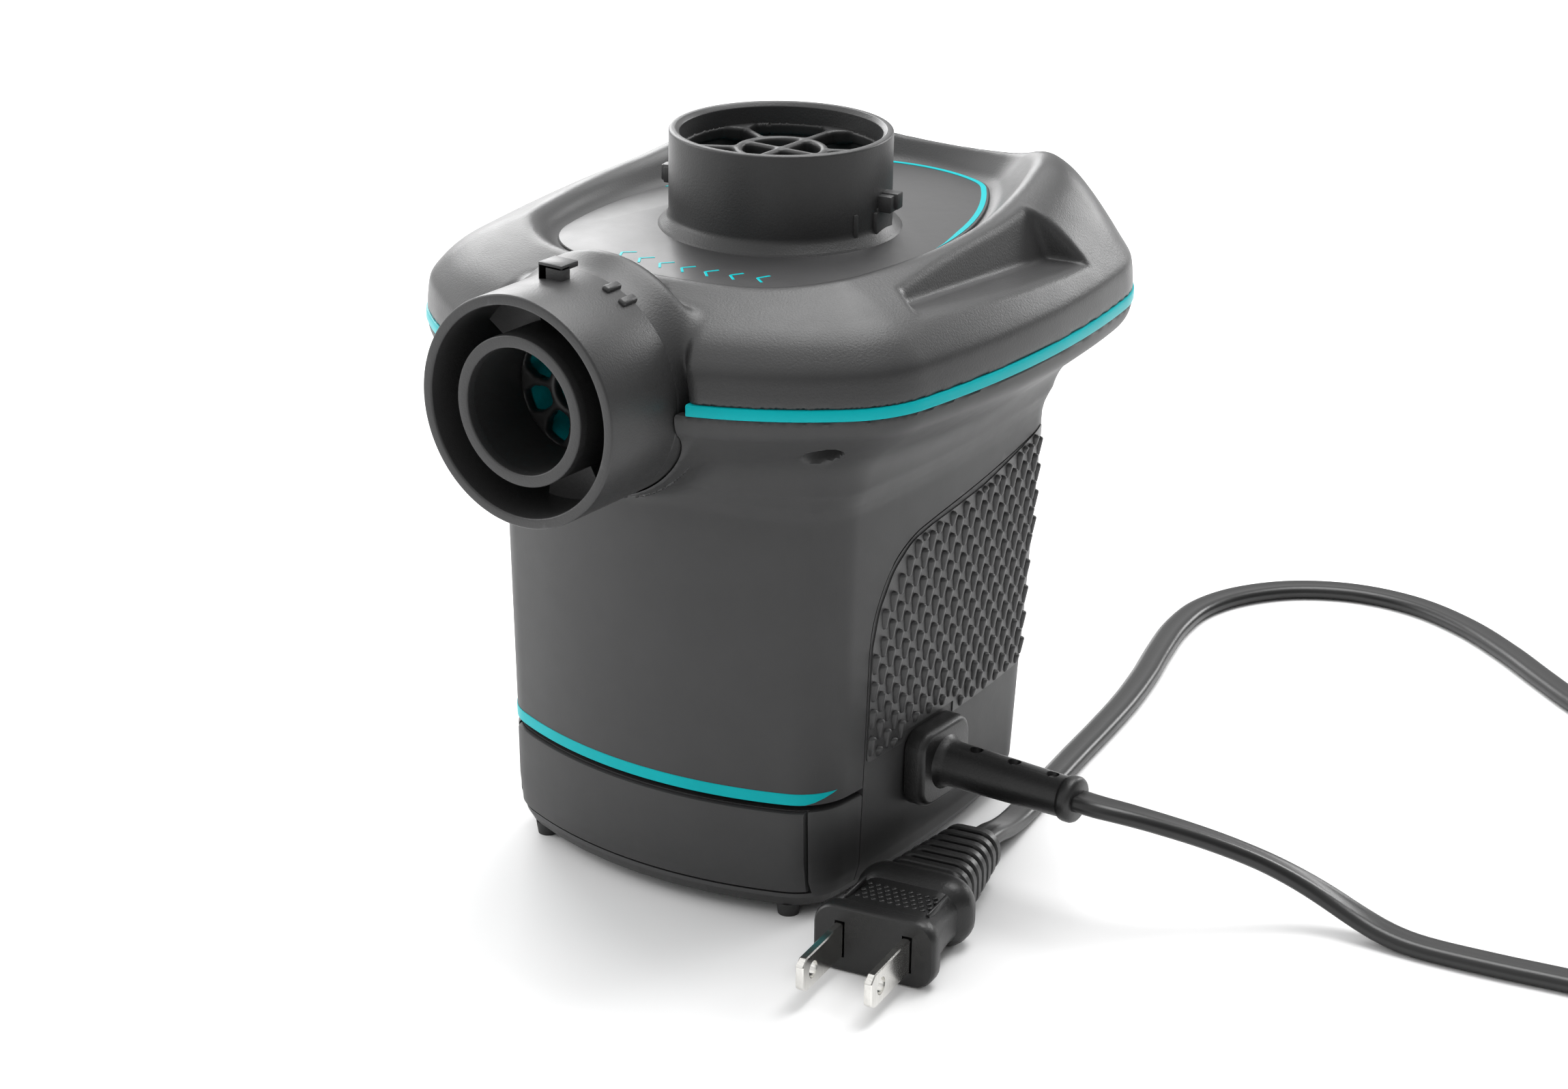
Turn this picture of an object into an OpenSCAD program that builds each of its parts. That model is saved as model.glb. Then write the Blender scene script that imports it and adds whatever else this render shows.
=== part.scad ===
// Mains electric air pump for air mattresses.
// A blower lid sits on a hand-held body. Air goes in at the port on top and out at the port in front.
// +Z is up, the outlet port points along -Y, and the origin is under the middle of the pump, on the floor.

/* [Ports] */
// Outer radius of both ports, which the hose and adaptors push onto
port_r = 20; // [19:0.5:21]
// Wall thickness of the ports
port_wall = 1.9; // [1.6:0.1:2.2]
// Height of the intake port's rim above the floor
intake_top = 133; // [131:1:136]
// Height of the outlet port's axis above the floor
outlet_z = 100.2; // [99.8:0.1:100.6]
// Distance from the fan axis to the outlet port's rim
outlet_reach = 75; // [73:1:78]
// Outer radius of the duct inside the outlet port
duct_r = 12.9; // [12.4:0.1:13]

/* [Lid] */
// Half the width of the lid
lid_half_w = 54; // [53:0.5:55]
// Distance from the fan axis to the front of the lid
lid_front = 62; // [60:1:63]
// Distance from the fan axis to the back of the lid
lid_back = 63; // [61:1:65]
// Height of the coloured seam band's lower edge
seam_z = 99.6; // [99.4:0.1:99.8]
// Height of the coloured seam band
seam_h = 2.1; // [1.8:0.1:2.4]
// Height of the flat floor of the dish around the intake port
dish_z = 115; // [114.9:0.1:115.2]

/* [Body] */
// Half the width of the body just above the base
body_half_w = 36.7; // [36.4:0.1:37.5]
// Distance from the fan axis to the front of the body, just above the base
body_front = 44; // [43:0.5:45]
// Distance from the fan axis to the back of the body, just above the base
body_back = 44; // [43:0.5:46]
// Wall thickness of the housing
wall = 2.2; // [2:0.1:2.4]
// Height of the rubber feet
foot_h = 2.5; // [2:0.5:3]

/* [Fan and motor] */
// Radius of the impeller
impeller_r = 27; // [25:0.5:27.5]
// Number of impeller blades
blade_n = 9; // [7:1:11]
// Radius of the motor shaft
shaft_r = 2.5; // [2:0.1:2.6]
// Radius of the armature
armature_r = 16; // [15.5:0.1:16]
// Number of armature slots
slot_n = 12; // [8:2:12]

/* [Switch and cord] */
// Angle between the rocker's off and on positions
rocker_travel = 16; // [12:1:18]
// Width of the flat two-core cord
cord_w = 5.8; // [5.6:0.1:6]
// Thickness of the flat two-core cord
cord_t = 2.9; // [2.7:0.1:3]
// Outer radius of the strain relief sleeve
sleeve_r = 4.2; // [4:0.1:4.3]

/* [Hidden] */

$fn = 64;
eps = 0.01;
gap = 0.1;                      // clearance between parts that are assembled but don't move
slice_h = 0.01;                 // thickness of a loft's slices
axis_y = (outlet_reach - lid_back) / 2; // the fan axis, so that the pump is centred on the origin
port_in_r = port_r - port_wall;
port_step = 0.3;                // the step on each port that a hose stops on
port_back = 48.5;               // from the fan axis to the back of the outlet port
duct_in_r = duct_r - 2;
lid_z = seam_z + seam_h;        // lower edge of the lid
dish_under = dish_z - 1.8;
case_z = 87;                    // underside of the fan case
case_floor = 2;
case_top = 111.3;
case_wall = 1.8;
core_z = 42;                    // underside of the stator and the armature
core_h = 30;
air_gap = 0.5;
post_x = 24;                    // the motor's two through screws
post_r = 3.6;
screw_r = 1.5;
bearing_r = 6.5;
bearing_h = 6;
running = 0.03;                 // radial clearance between the shaft and its bearings
groove_z = 22;                  // upper edge of the base front
groove_h = 1.3;
strip_h = 2.2;
base_z = foot_h + 2;            // upper face of the bottom plate
cord_y = -4;                    // the cord's way out, from the fan axis
cord_z = 22.3;
sleeve_end = 69;
sleeve_x = 41.2;
relief_x = 37;                  // inner face of the strain relief's outer block
switch_z = 62;
screw_boss = 1.8;               // height of the bottom plate's screw bosses above its upper face

// --- outlines -------------------------------------------------------------------------------
// A plan is [half width, y of the widest place, side radius, front y, front radius,
// back y, back radius, front corner radius, back corner radius].
lid_plan = [lid_half_w, -1, 205, -lid_front, 66, lid_back, 90, 22, 25];
label_plan = [31.5, -6, 68, -39.3, 60, 48.5, 26, 18, 12];
dish_plan = [40, -4, 90, -47, 70, 55, 50, 22, 18];
body_slope = [1.5, 1.06, 3.4] / 50;   // how the half width, the front and the back grow with height

function body_plan(z) =
    let (k = z - groove_z)
    [body_half_w + body_slope[0] * k, -9, 300, -body_front - body_slope[1] * k, 76,
     body_back + body_slope[2] * k, 120, 11, 15];
function grown(p, o) =
    [p[0] + o, p[1], p[2] + o, p[3] - o, p[4] + o, p[5] + o, p[6] + o, p[7] + o, p[8] + o];
function crossing(a, ra, b, rb, side) =
    let (d = norm(b - a), u = (b - a) / d, m = (ra * ra - rb * rb + d * d) / (2 * d))
    a + m * u + side * sqrt(max(0, ra * ra - m * m)) * [-u[1], u[0]];
function bearing_of(c, p) = atan2(p[1] - c[1], p[0] - c[0]);
function arc(c, r, a0, a1, n) =
    [for (i = [0:n]) let (a = a0 + (a1 - a0) * i / n) c + r * [cos(a), sin(a)]];
function half_plan(p) =
    let (
        front = [0, p[3] + p[4]],
        side = [p[0] - p[2], p[1]],
        back = [0, p[5] - p[6]],
        near = crossing(front, p[4] - p[7], side, p[2] - p[7], 1),
        far = crossing(back, p[6] - p[8], side, p[2] - p[8], -1),
        a1 = bearing_of(front, near),
        a2 = bearing_of(side, near),
        a3 = bearing_of(side, far),
        a4 = bearing_of(back, far)
    )
    concat(
        arc(front, p[4], -90, a1, 4), arc(near, p[7], a1, a2, 6), arc(side, p[2], a2, a3, 5),
        arc(far, p[8], a3, a4, 6), arc(back, p[6], a4, 90, 4)
    );
function tidy(points) =
    [for (i = [0:len(points) - 1]) if (i == 0 || norm(points[i] - points[i - 1]) > 0.02) points[i]];
function plan_points(p) =
    let (h = tidy(half_plan(p)), n = len(h))
    concat(h, [for (i = [n - 2:-1:1]) [-h[i][0], h[i][1]]]);
function round_box(w, h, r) =
    concat(arc([w / 2 - r, h / 2 - r], r, 0, 90, 5), arc([r - w / 2, h / 2 - r], r, 90, 180, 5),
           arc([r - w / 2, r - h / 2], r, 180, 270, 5), arc([w / 2 - r, r - h / 2], r, 270, 360, 5));

module slice(z, p, tilt = 0)
    translate([0, 0, z]) rotate([tilt, 0, 0]) linear_extrude(slice_h) polygon(plan_points(p));
module at_axis() translate([0, axis_y, 0]) children();
module along_y(y0, y1, r) translate([0, y0, outlet_z]) rotate([-90, 0, 0]) cylinder(h = y1 - y0, r = r);
module mirrored() {
    children();
    mirror([1, 0, 0]) children();
}

// --- housing solids -------------------------------------------------------------------------
// The lid's outer form, moved inwards by inset and with its lower edge drop lower.
module lid_form(inset = 0, drop = 0)
    hull() {
        slice(lid_z - drop, grown(lid_plan, -inset));
        slice(107 - inset, grown(lid_plan, -0.6 - inset));
        slice(112 - inset, grown(lid_plan, -3 - inset), 0.6);
        slice(115.5 - inset, grown(lid_plan, -7 - inset), 1.6);
        slice(118 - inset, grown(lid_plan, -11.5 - inset), 2.8);
        slice(119.4 - inset, grown(lid_plan, -16 - inset), 3.2);
    }
// The dish around the intake port; with a positive grow it is the solid that the dish is moulded from.
module dish_form(grow = 0, under = 0)
    hull() {
        slice(dish_z - under, grown(label_plan, 1.5 + grow));
        slice(116.8 - under / 2, grown(label_plan, 2.6 + grow));
        slice(126, grown(dish_plan, 4 + grow), 3);
    }
// The body from the bottom plate to the neck, moved inwards by inset.
module body_form(inset = 0)
    hull() {
        slice(foot_h, grown(body_plan(foot_h), -2 - inset));
        slice(base_z, grown(body_plan(base_z), -0.9 - inset));
        slice(8, grown(body_plan(8), -inset));
        slice(80, grown(body_plan(80), -inset));
    }
module neck_form(inset = 0)
    hull() {
        slice(79, grown(body_plan(79), 0.4 - inset));
        slice(82, grown(body_plan(82), 1.6 - inset));
        slice(91 + inset, grown(body_plan(91), 2.2 - inset));
    }
module flange_form(inset = 0)
    hull() {
        slice(89.2 + inset, grown(body_plan(89), 3 - inset));
        slice(93 + inset, grown(lid_plan, -1.4 - inset));
        slice(seam_z - slice_h + inset * 0.2, grown(lid_plan, -inset));
    }
// The rear shell's side view, which the grips fill: its front edge is the body's upright seam.
rear_top = [60, 77];
function rear_outline(o) =
    [[-24 - o, -1], [-24 - o, 50], [-22.5 - o, 57 + o / 2], [-18.5 - o, 64 + o / 2], [-13 - o, 68 + o],
     [-6, 69.3 + o], [12, 71.2 + o], [rear_top[0], rear_top[1] + o], [rear_top[0], -1]];
module rear_zone(o = 0, z0 = -1)
    intersection() {
        rotate([90, 0, 90]) translate([0, 0, -70]) linear_extrude(140) polygon(rear_outline(o));
        translate([-80, -80, z0]) cube([160, 160, 120]);
    }
boss_places = [[38, -43.6], [36, 43]];
boss_r = 2.7;
screw_head_z = 91.6;             // underside of the lid screws' heads
screw_seat_z = 93.4;

// --- lid ------------------------------------------------------------------------------------
module lug(r, z, a, h = 3, out = 2.4)
    rotate([0, 0, a]) translate([r - 0.6, -2.2, z]) cube([out + 0.6, 4.4, h]);

module lid_shell()
    color([0.31, 0.31, 0.32]) at_axis() difference() {
        union() {
            difference() {
                lid_form();
                dish_form();
                difference() {
                    lid_form(wall, 1);
                    dish_form(wall - 0.4, 1.8);
                }
            }
            intersection() {
                lid_form(0.8);
                mirrored() for (p = boss_places) translate([p[0], p[1], lid_z]) cylinder(h = 18, r = boss_r);
            }
        }
        translate([0, 0, dish_under - 1]) cylinder(h = 30, r = port_r + port_step + gap, $fn = 96);
        along_y(-outlet_reach - 1, -port_back + gap / 2, port_r + port_step + gap / 2);
        mirrored() for (p = boss_places)
            translate([p[0], p[1], lid_z - eps]) cylinder(h = 7, r = screw_r - 0.02);
    }

module seam_band()
    color([0, 0.7, 0.72]) at_axis() difference() {
        translate([0, 0, seam_z]) linear_extrude(seam_h) polygon(plan_points(grown(lid_plan, 0.25)));
        translate([0, 0, seam_z - 1]) linear_extrude(seam_h + 2) polygon(plan_points(grown(lid_plan, -wall)));
        along_y(-outlet_reach - 1, -port_back + gap / 2, port_r + port_step + gap / 2);
    }

module label_plate()
    color([0.36, 0.36, 0.37]) at_axis() difference() {
        translate([0, 0, dish_z]) linear_extrude(0.6) polygon(plan_points(label_plan));
        translate([0, 0, dish_z - 1]) cylinder(h = 3, r = port_r + 1.6);
    }

// A coloured line round the back of the label plate.
module label_trim()
    color([0, 0.7, 0.72]) at_axis() intersection() {
        difference() {
            translate([0, 0, dish_z + 0.6]) linear_extrude(0.2) polygon(plan_points(grown(label_plan, -1)));
            translate([0, 0, dish_z]) linear_extrude(2) polygon(plan_points(grown(label_plan, -2.1)));
        }
        translate([-40, 8, dish_z]) cube([80, 50, 3]);
    }

// --- ports ----------------------------------------------------------------------------------
// The intake port is a collar set in the dish. A hose stops on its step, above the lugs.
module intake_port()
    color([0.31, 0.31, 0.32]) at_axis() difference() {
        union() {
            translate([0, 0, dish_under]) cylinder(h = intake_top - dish_under, r = port_r, $fn = 96);
            translate([0, 0, dish_under]) cylinder(h = 124 - dish_under, r = port_r + port_step, $fn = 96);
            translate([0, 0, dish_z]) cylinder(h = 0.9, r = port_r + 1.5, $fn = 96);
            lug(port_r, 120.6, 10);
            lug(port_r, 120.6, 190);
        }
        translate([0, 0, dish_under - 1]) cylinder(h = 30, r = port_in_r, $fn = 96);
    }

module outlet_port()
    color([0.31, 0.31, 0.32]) at_axis() difference() {
        union() {
            along_y(-outlet_reach, -port_back, port_r);
            along_y(-outlet_reach + 10.5, -port_back, port_r + port_step);
            translate([0, -62, outlet_z]) rotate([90, 0, 0]) translate([0, 0, -2]) lug(port_r, 0, 92, 4, 2.5);
        }
        difference() {
            along_y(-outlet_reach - 1, -port_back - 1.8, port_in_r);
            // two ribs that steady the duct inside the port
            for (a = [60, 240]) translate([0, -56, outlet_z]) rotate([0, a, 0])
                translate([duct_r + gap, 0, -0.8]) cube([8, 6, 1.6]);
        }
        along_y(-outlet_reach - 1, -port_back + 1, duct_r + gap / 2);
    }

grille_z = 126.4;
grille_h = 2.6;
module intake_grille()
    color([0.27, 0.27, 0.28]) at_axis() translate([0, 0, grille_z]) linear_extrude(grille_h) intersection() {
        circle(r = port_in_r);
        union() {
            difference() {
                circle(r = 8.6);
                circle(r = 7.2);
            }
            for (a = [0:90:270]) rotate(a) translate([0, -0.7]) square([8, 1.4]);
            for (a = [30:60:330]) rotate(a) {
                translate([8, -0.8]) square([12, 1.6]);
                translate([15.4, 0]) polygon([[0, -0.8], [4, -3.4], [4, 3.4], [0, 0.8]]);
            }
        }
    }

module outlet_grille()
    color([0.2, 0.2, 0.21]) at_axis() translate([0, -58.4, outlet_z]) rotate([90, 0, 0]) linear_extrude(2) {
        difference() {
            circle(r = duct_in_r);
            circle(r = duct_in_r - 1.2);
        }
        difference() {
            circle(r = 4.9);
            circle(r = 3.5);
        }
        for (a = [0:45:315]) rotate(a) translate([4.2, -0.7]) square([duct_in_r - 4.8, 1.4]);
    }

// --- body -----------------------------------------------------------------------------------
module body_shell()
    color([0.31, 0.31, 0.32]) at_axis() difference() {
        union() {
            difference() {
                union() {
                    body_form();
                    neck_form();
                    flange_form();
                }
                body_form(wall);
                neck_form(wall);
                flange_form(wall);
            }
            mirrored() for (p = boss_places)
                translate([p[0], p[1], 92.2]) cylinder(h = lid_z - 92.2, r = boss_r);
        }
        translate([-80, -80, -1]) cube([160, 160, groove_z + groove_h + 1]);
        rear_zone(0.2);
        strip_zone();
        along_y(-outlet_reach - 1, -40, port_r + port_step + gap / 2);
        mirrored() for (p = boss_places) translate([p[0], p[1], 0]) {
            translate([0, 0, 80]) cylinder(h = 30, r = screw_r + 0.15);
            translate([0, 0, 89.8]) cylinder(h = screw_seat_z - 89.8, r = boss_r - 0.1);
        }
    }

strip_z = groove_z + groove_h;
// The strip's zone, which runs out to a point on the right front corner.
module strip_zone()
    translate([0, -34, 0]) rotate([90, 0, 0]) linear_extrude(30) polygon([
        [-60, strip_z - 1], [32.3, strip_z - 1], [32.3, strip_z + 0.1], [34.2, strip_z + 0.8],
        [35.5, strip_z + 1.7], [36, strip_z + strip_h], [-60, strip_z + strip_h]]);

module accent_strip()
    color([0, 0.7, 0.72]) at_axis() intersection() {
        difference() {
            body_form(-0.1);
            body_form(wall);
        }
        difference() {
            strip_zone();
            translate([-80, -80, 0]) cube([160, 160, strip_z]);
        }
    }

module rear_shell()
    color([0.29, 0.29, 0.3]) at_axis() difference() {
        union() {
            intersection() {
                difference() {
                    body_form();
                    body_form(wall);
                }
                rear_zone(0, base_z);
            }
            screw_posts(29);
        }
        base_screw_holes(29);
        translate([30, cord_y, cord_z]) rotate([90, 0, 90]) linear_extrude(12)
            polygon(round_box(12.2, 11.2, 2));
        on_back() translate([-7.1, -8, -10.1]) cube([14.2, 20, 20.2]);
    }

module base_front()
    color([0.29, 0.29, 0.3]) at_axis() difference() {
        union() {
            difference() {
                body_form();
                body_form(wall + 0.2);
                translate([-80, -80, groove_z]) cube([160, 160, 120]);
            }
            // the lip that closes the groove from inside
            difference() {
                body_form(wall + gap);
                body_form(wall + 1.2);
                translate([-80, -80, groove_z + 4]) cube([160, 160, 120]);
                translate([-80, -80, -1]) cube([160, 160, 16]);
            }
            screw_posts(-28);
        }
        translate([-80, -80, -1]) cube([160, 160, base_z + 1]);
        rear_zone(0.2);
        badge_zone(0.8);
        base_screw_holes(-28);
    }
// Posts for the base screws, each with a web to the side wall.
module screw_posts(y)
    intersection() {
        body_form(1);
        mirrored() translate([22, y, base_z]) {
            translate([0, 0, screw_boss + gap]) cylinder(h = 9, r = 3.4);
            translate([0, -0.8, screw_boss + gap]) cube([20, 1.6, 9]);
        }
    }
module base_screw_holes(y) mirrored() translate([22, y, 0]) cylinder(h = 15, r = screw_r);

// The badge panel's place on the front of the base; deep is how far into the wall it goes.
module badge_zone(deep)
    difference() {
        translate([-32.2, -60, 5.8]) cube([64.4, 34, 15.4]);
        body_form(deep);
    }

module badge_panel()
    color([0.33, 0.33, 0.34]) at_axis() intersection() {
        badge_zone(0.8);
        body_form(-0.3);
    }

module bottom_plate()
    color([0.2, 0.2, 0.21]) at_axis() difference() {
        union() {
            intersection() {
                body_form();
                translate([-80, -80, 0]) cube([160, 160, base_z]);
            }
            mirrored() for (y = [-28, 29]) translate([22, y, foot_h])
                cylinder(h = base_z - foot_h + screw_boss, r = 4.4);
        }
        mirrored() for (y = [-28, 29]) translate([22, y, -1]) {
            cylinder(h = 10, r = screw_r + 0.15);
            cylinder(h = foot_h + 2.8, r = 3.1);
        }
    }

module feet()
    color([0.12, 0.12, 0.12]) at_axis() mirrored() for (y = [-34, 34])
        translate([27.5, y, 0]) cylinder(h = foot_h, r1 = 1.9, r2 = 2.3);

module base_screws()
    color([0.6, 0.6, 0.62]) at_axis() mirrored() for (y = [-28, 29]) translate([22, y, foot_h]) {
        translate([0, 0, 1.8]) cylinder(h = 9, r = screw_r);
        translate([0, 0, 0.1]) cylinder(h = 1.7, r = 2.8);
    }

// The screws that hold the lid on, driven up from recesses under the flange.
module housing_screws()
    color([0.6, 0.6, 0.62]) at_axis() mirrored() for (p = boss_places) translate([p[0], p[1], 0]) {
        translate([0, 0, screw_seat_z]) cylinder(h = 13, r = screw_r - 0.05);
        translate([0, 0, screw_head_z]) cylinder(h = screw_seat_z - screw_head_z, r = boss_r - 0.3);
    }

// A textured pad on one side of the rear shell.
function grip_outline() =
    [[-23.6, 28], [-23.5, 50], [-22, 56.8], [-18.2, 63.3], [-12.8, 67.3], [-6, 68.6], [12, 70.5],
     [37.5, 75], [33.5, 28]];
module grip_pad()
    intersection() {
        difference() {
            body_form(-0.8);
            body_form();
        }
        rotate([90, 0, 90]) translate([0, 0, 20]) linear_extrude(60) polygon(grip_outline());
    }
module grip_right()
    color([0.24, 0.24, 0.25]) at_axis() difference() {
        grip_pad();
        translate([30, cord_y, cord_z]) rotate([90, 0, 90]) linear_extrude(20)
            polygon(round_box(16.2, 14.8, 3.6));
    }
module grip_left() color([0.24, 0.24, 0.25]) at_axis() mirror([1, 0, 0]) grip_pad();

// --- fan ------------------------------------------------------------------------------------
function scroll(o) =
    [for (i = [0:71]) let (a = i * 5, r = 29 + 5.6 * i / 71 + o) r * [cos(a - 80), sin(a - 80)]];

module fan_case()
    color([0.25, 0.25, 0.26]) at_axis() difference() {
        union() {
            translate([0, 0, case_z]) linear_extrude(case_top - case_z) polygon(scroll(case_wall));
            along_y(-outlet_reach + 0.7, -20, duct_r);
        }
        translate([0, 0, case_z + case_floor]) linear_extrude(30) polygon(scroll(0));
        along_y(-outlet_reach - 1, -20, duct_in_r);
        translate([0, 0, case_z - 1]) cylinder(h = 5, r = 5);
        mirrored() translate([post_x, 0, case_z - 1]) cylinder(h = 5, r = screw_r + 0.1);
    }

module fan_case_cover()
    color([0.25, 0.25, 0.26]) at_axis() difference() {
        translate([0, 0, case_top]) linear_extrude(dish_under - case_top) polygon(scroll(case_wall));
        translate([0, 0, case_top - 1]) cylinder(h = 5, r = 15.5);
        along_y(-outlet_reach, -20, duct_r + gap);
    }

impeller_z = 92;
impeller_top = 108;
hub_r = 6;
function blade_line(r0, r1, sweep, n, skew) =
    [for (i = [0:n]) let (t = i / n, r = r0 + (r1 - r0) * t, a = skew / r - sweep * t * t)
        r * [cos(a), sin(a)]];
module blade()
    linear_extrude(impeller_top - impeller_z - 0.8) let (front = blade_line(9, impeller_r, 42, 8, 0),
        back = blade_line(9, impeller_r, 42, 8, 80))
        polygon(concat(front, [for (i = [8:-1:0]) back[i]]));
module impeller()
    color([0, 0.62, 0.64]) at_axis() difference() {
        union() {
            translate([0, 0, impeller_z]) cylinder(h = 1.5, r = impeller_r + 0.8);
            translate([0, 0, impeller_z]) cylinder(h = impeller_top - impeller_z + 1, r = hub_r);
            for (i = [0:blade_n - 1]) rotate([0, 0, i * 360 / blade_n])
                translate([0, 0, impeller_z + 1]) blade();
            translate([0, 0, impeller_top - 0.5]) difference() {
                cylinder(h = 1.4, r = impeller_r + 0.8);
                translate([0, 0, -1]) cylinder(h = 4, r = 15.5);
            }
        }
        translate([0, 0, impeller_z - 1]) cylinder(h = 30, r = shaft_r);
    }

module impeller_nut()
    color([0.7, 0.7, 0.72]) at_axis() difference() {
        translate([0, 0, impeller_top + 1]) cylinder(h = 2.6, r = 4.4, $fn = 6);
        translate([0, 0, impeller_top]) cylinder(h = 5, r = shaft_r);
    }

// --- rotor ----------------------------------------------------------------------------------
module motor_shaft()
    color([0.7, 0.7, 0.72]) at_axis() translate([0, 0, 13.5]) cylinder(h = 99, r = shaft_r);

function slot_angle(i) = i * 360 / slot_n;
module armature_slots(o)
    for (i = [0:slot_n - 1]) rotate(slot_angle(i)) {
        translate([9, -1.5 + o]) square([5.4, 3 - 2 * o]);
        translate([14, -0.6 + o]) square([4, 1.2 - 2 * o]);
    }
module armature_core()
    color([0.55, 0.55, 0.57]) at_axis() translate([0, 0, core_z]) linear_extrude(core_h) difference() {
        circle(r = armature_r);
        circle(r = shaft_r);
        armature_slots(0);
    }

module winding_end(z, h)
    translate([0, 0, z]) rotate_extrude()
        polygon([[shaft_r + 1.5, 0], [14.2, 0], [14.2, h - 2], [12.4, h], [shaft_r + 3, h],
            [shaft_r + 1.5, h - 1.5]]);
module armature_windings()
    color([0.72, 0.4, 0.2]) at_axis() {
        winding_end(core_z + core_h, 5.4);
        translate([0, 0, core_z]) mirror([0, 0, 1]) winding_end(0, 5.4);
        translate([0, 0, core_z]) linear_extrude(core_h) for (i = [0:slot_n - 1])
            rotate(slot_angle(i)) translate([9.1, -1.4]) square([5, 2.8]);
    }

commutator_z = 23;
commutator_r = 9;
module commutator()
    color([0.75, 0.45, 0.25]) at_axis() translate([0, 0, commutator_z]) difference() {
        union() {
            cylinder(h = 11, r = commutator_r);
            translate([0, 0, 10.5]) cylinder(h = 2.4, r = commutator_r + 1);
        }
        translate([0, 0, -1]) cylinder(h = 20, r = shaft_r);
        for (i = [0:slot_n - 1]) rotate([0, 0, slot_angle(i)])
            translate([commutator_r - 0.9, -0.25, -1]) cube([4, 0.5, 20]);
    }

// --- motor frame ----------------------------------------------------------------------------
stator_w = 54;
stator_l = 60;
pole_w = 22;
module stator_shape()
    difference() {
        polygon(round_box(stator_w, stator_l, 8));
        difference() {
            polygon(round_box(stator_w - 12, stator_l - 10, 5));
            translate([-pole_w / 2, -stator_l / 2]) square([pole_w, stator_l]);
            for (s = [0, 180]) rotate(s) intersection() {
                circle(r = 19.6);
                polygon([[0, 0], [-34, 22], [-34, 60], [34, 60], [34, 22]]);
            }
        }
        circle(r = armature_r + air_gap);
        for (s = [-1, 1]) translate([s * post_x, 0]) circle(r = screw_r + 0.1);
    }
module stator_core()
    color([0.5, 0.5, 0.52]) at_axis() translate([0, 0, core_z]) linear_extrude(core_h) stator_shape();

// Two coils, each wound round one pole.
module field_coils()
    color([0.72, 0.4, 0.2]) at_axis() for (s = [0, 180]) rotate([0, 0, s])
        translate([0, 20, core_z + core_h / 2]) rotate([-90, 0, 0]) linear_extrude(4.6) difference() {
            polygon(round_box(pole_w + 13, core_h + 13, 6));
            square([pole_w + 0.2, core_h + 0.2], center = true);
        }

module bearing_plate(z, h, arm)
    translate([0, 0, z]) linear_extrude(h) difference() {
        union() {
            polygon(round_box(2 * post_x + 11, 22, 8));
            polygon(round_box(16, arm, 4));
        }
        circle(r = bearing_r);
        for (s = [-1, 1]) translate([s * post_x, 0]) circle(r = screw_r + 0.1);
    }
module post(z, h)
    mirrored() translate([post_x, 0, z]) difference() {
        cylinder(h = h, r = post_r);
        translate([0, 0, -1]) cylinder(h = h + 2, r = screw_r + 0.1);
    }
module upper_bracket()
    color([0.65, 0.65, 0.67]) at_axis() {
        bearing_plate(case_z - 3.5, 3.5, 20);
        post(core_z + core_h, case_z - 3.5 - core_z - core_h);
        translate([0, 0, case_z - bearing_h - 2]) difference() {
            cylinder(h = bearing_h - 1.5, r = bearing_r + 2);
            translate([0, 0, -1]) cylinder(h = bearing_h + 2, r = bearing_r);
        }
    }
module lower_bracket()
    color([0.65, 0.65, 0.67]) at_axis() {
        bearing_plate(16, 3, 48);
        post(19, core_z - 19);
        translate([0, 0, 14]) difference() {
            cylinder(h = 2, r = bearing_r + 2);
            translate([0, 0, -1]) cylinder(h = 4, r = bearing_r);
        }
    }
module bearing(z)
    translate([0, 0, z]) difference() {
        cylinder(h = bearing_h, r = bearing_r);
        translate([0, 0, -1]) cylinder(h = bearing_h + 2, r = shaft_r + running);
    }
module upper_bearing() color([0.78, 0.65, 0.4]) at_axis() bearing(case_z - bearing_h - 1);
module lower_bearing() color([0.78, 0.65, 0.4]) at_axis() bearing(14.5);

brush_z = 26;
brush_w = 5;
module brush_holders()
    color([0.7, 0.6, 0.3]) at_axis() for (s = [0, 180]) rotate([0, 0, s + 90]) difference() {
        union() {
            translate([11, -4, brush_z - 1.5]) cube([13, 8, 8]);
            translate([13, -4, 19]) cube([4, 8, brush_z - 20.5]);
            translate([9.6, -6, 19]) cube([14.4, 12, 1.2]);
        }
        translate([10, -brush_w / 2, brush_z]) cube([12.5, brush_w, brush_w]);
    }
module brushes()
    color([0.2, 0.2, 0.2]) at_axis() for (s = [0, 180]) rotate([0, 0, s + 90])
        translate([commutator_r + 0.3, -brush_w / 2 + 0.05, brush_z + 0.05])
            cube([8, brush_w - 0.1, brush_w - 0.1]);
module brush_springs()
    color([0.75, 0.75, 0.77]) at_axis() for (s = [0, 180]) rotate([0, 0, s + 90])
        translate([commutator_r + 8.3, 0, brush_z + brush_w / 2]) rotate([0, 90, 0]) difference() {
            cylinder(h = 5.2, r = 1.9);
            translate([0, 0, -1]) cylinder(h = 8, r = 1.3);
        }
module motor_screws()
    color([0.6, 0.6, 0.62]) at_axis() mirrored() translate([post_x, 0, 0]) {
        translate([0, 0, 14.2]) cylinder(h = case_z + case_floor + 2.6 - 14.2, r = screw_r);
        translate([0, 0, 14.2]) cylinder(h = 1.8, r = 2.8);
        translate([0, 0, case_z + case_floor]) cylinder(h = 2.2, r = 3.2, $fn = 6);
    }

// --- switch ---------------------------------------------------------------------------------
back_y = body_back + body_slope[2] * (switch_z - groove_z);
back_tilt = -atan(body_slope[2]);
// Moves a shape to the switch's place: y = 0 is the back wall's outer face, and +Y points outwards.
module on_back() translate([0, back_y, switch_z]) rotate([back_tilt, 0, 0]) children();

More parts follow.
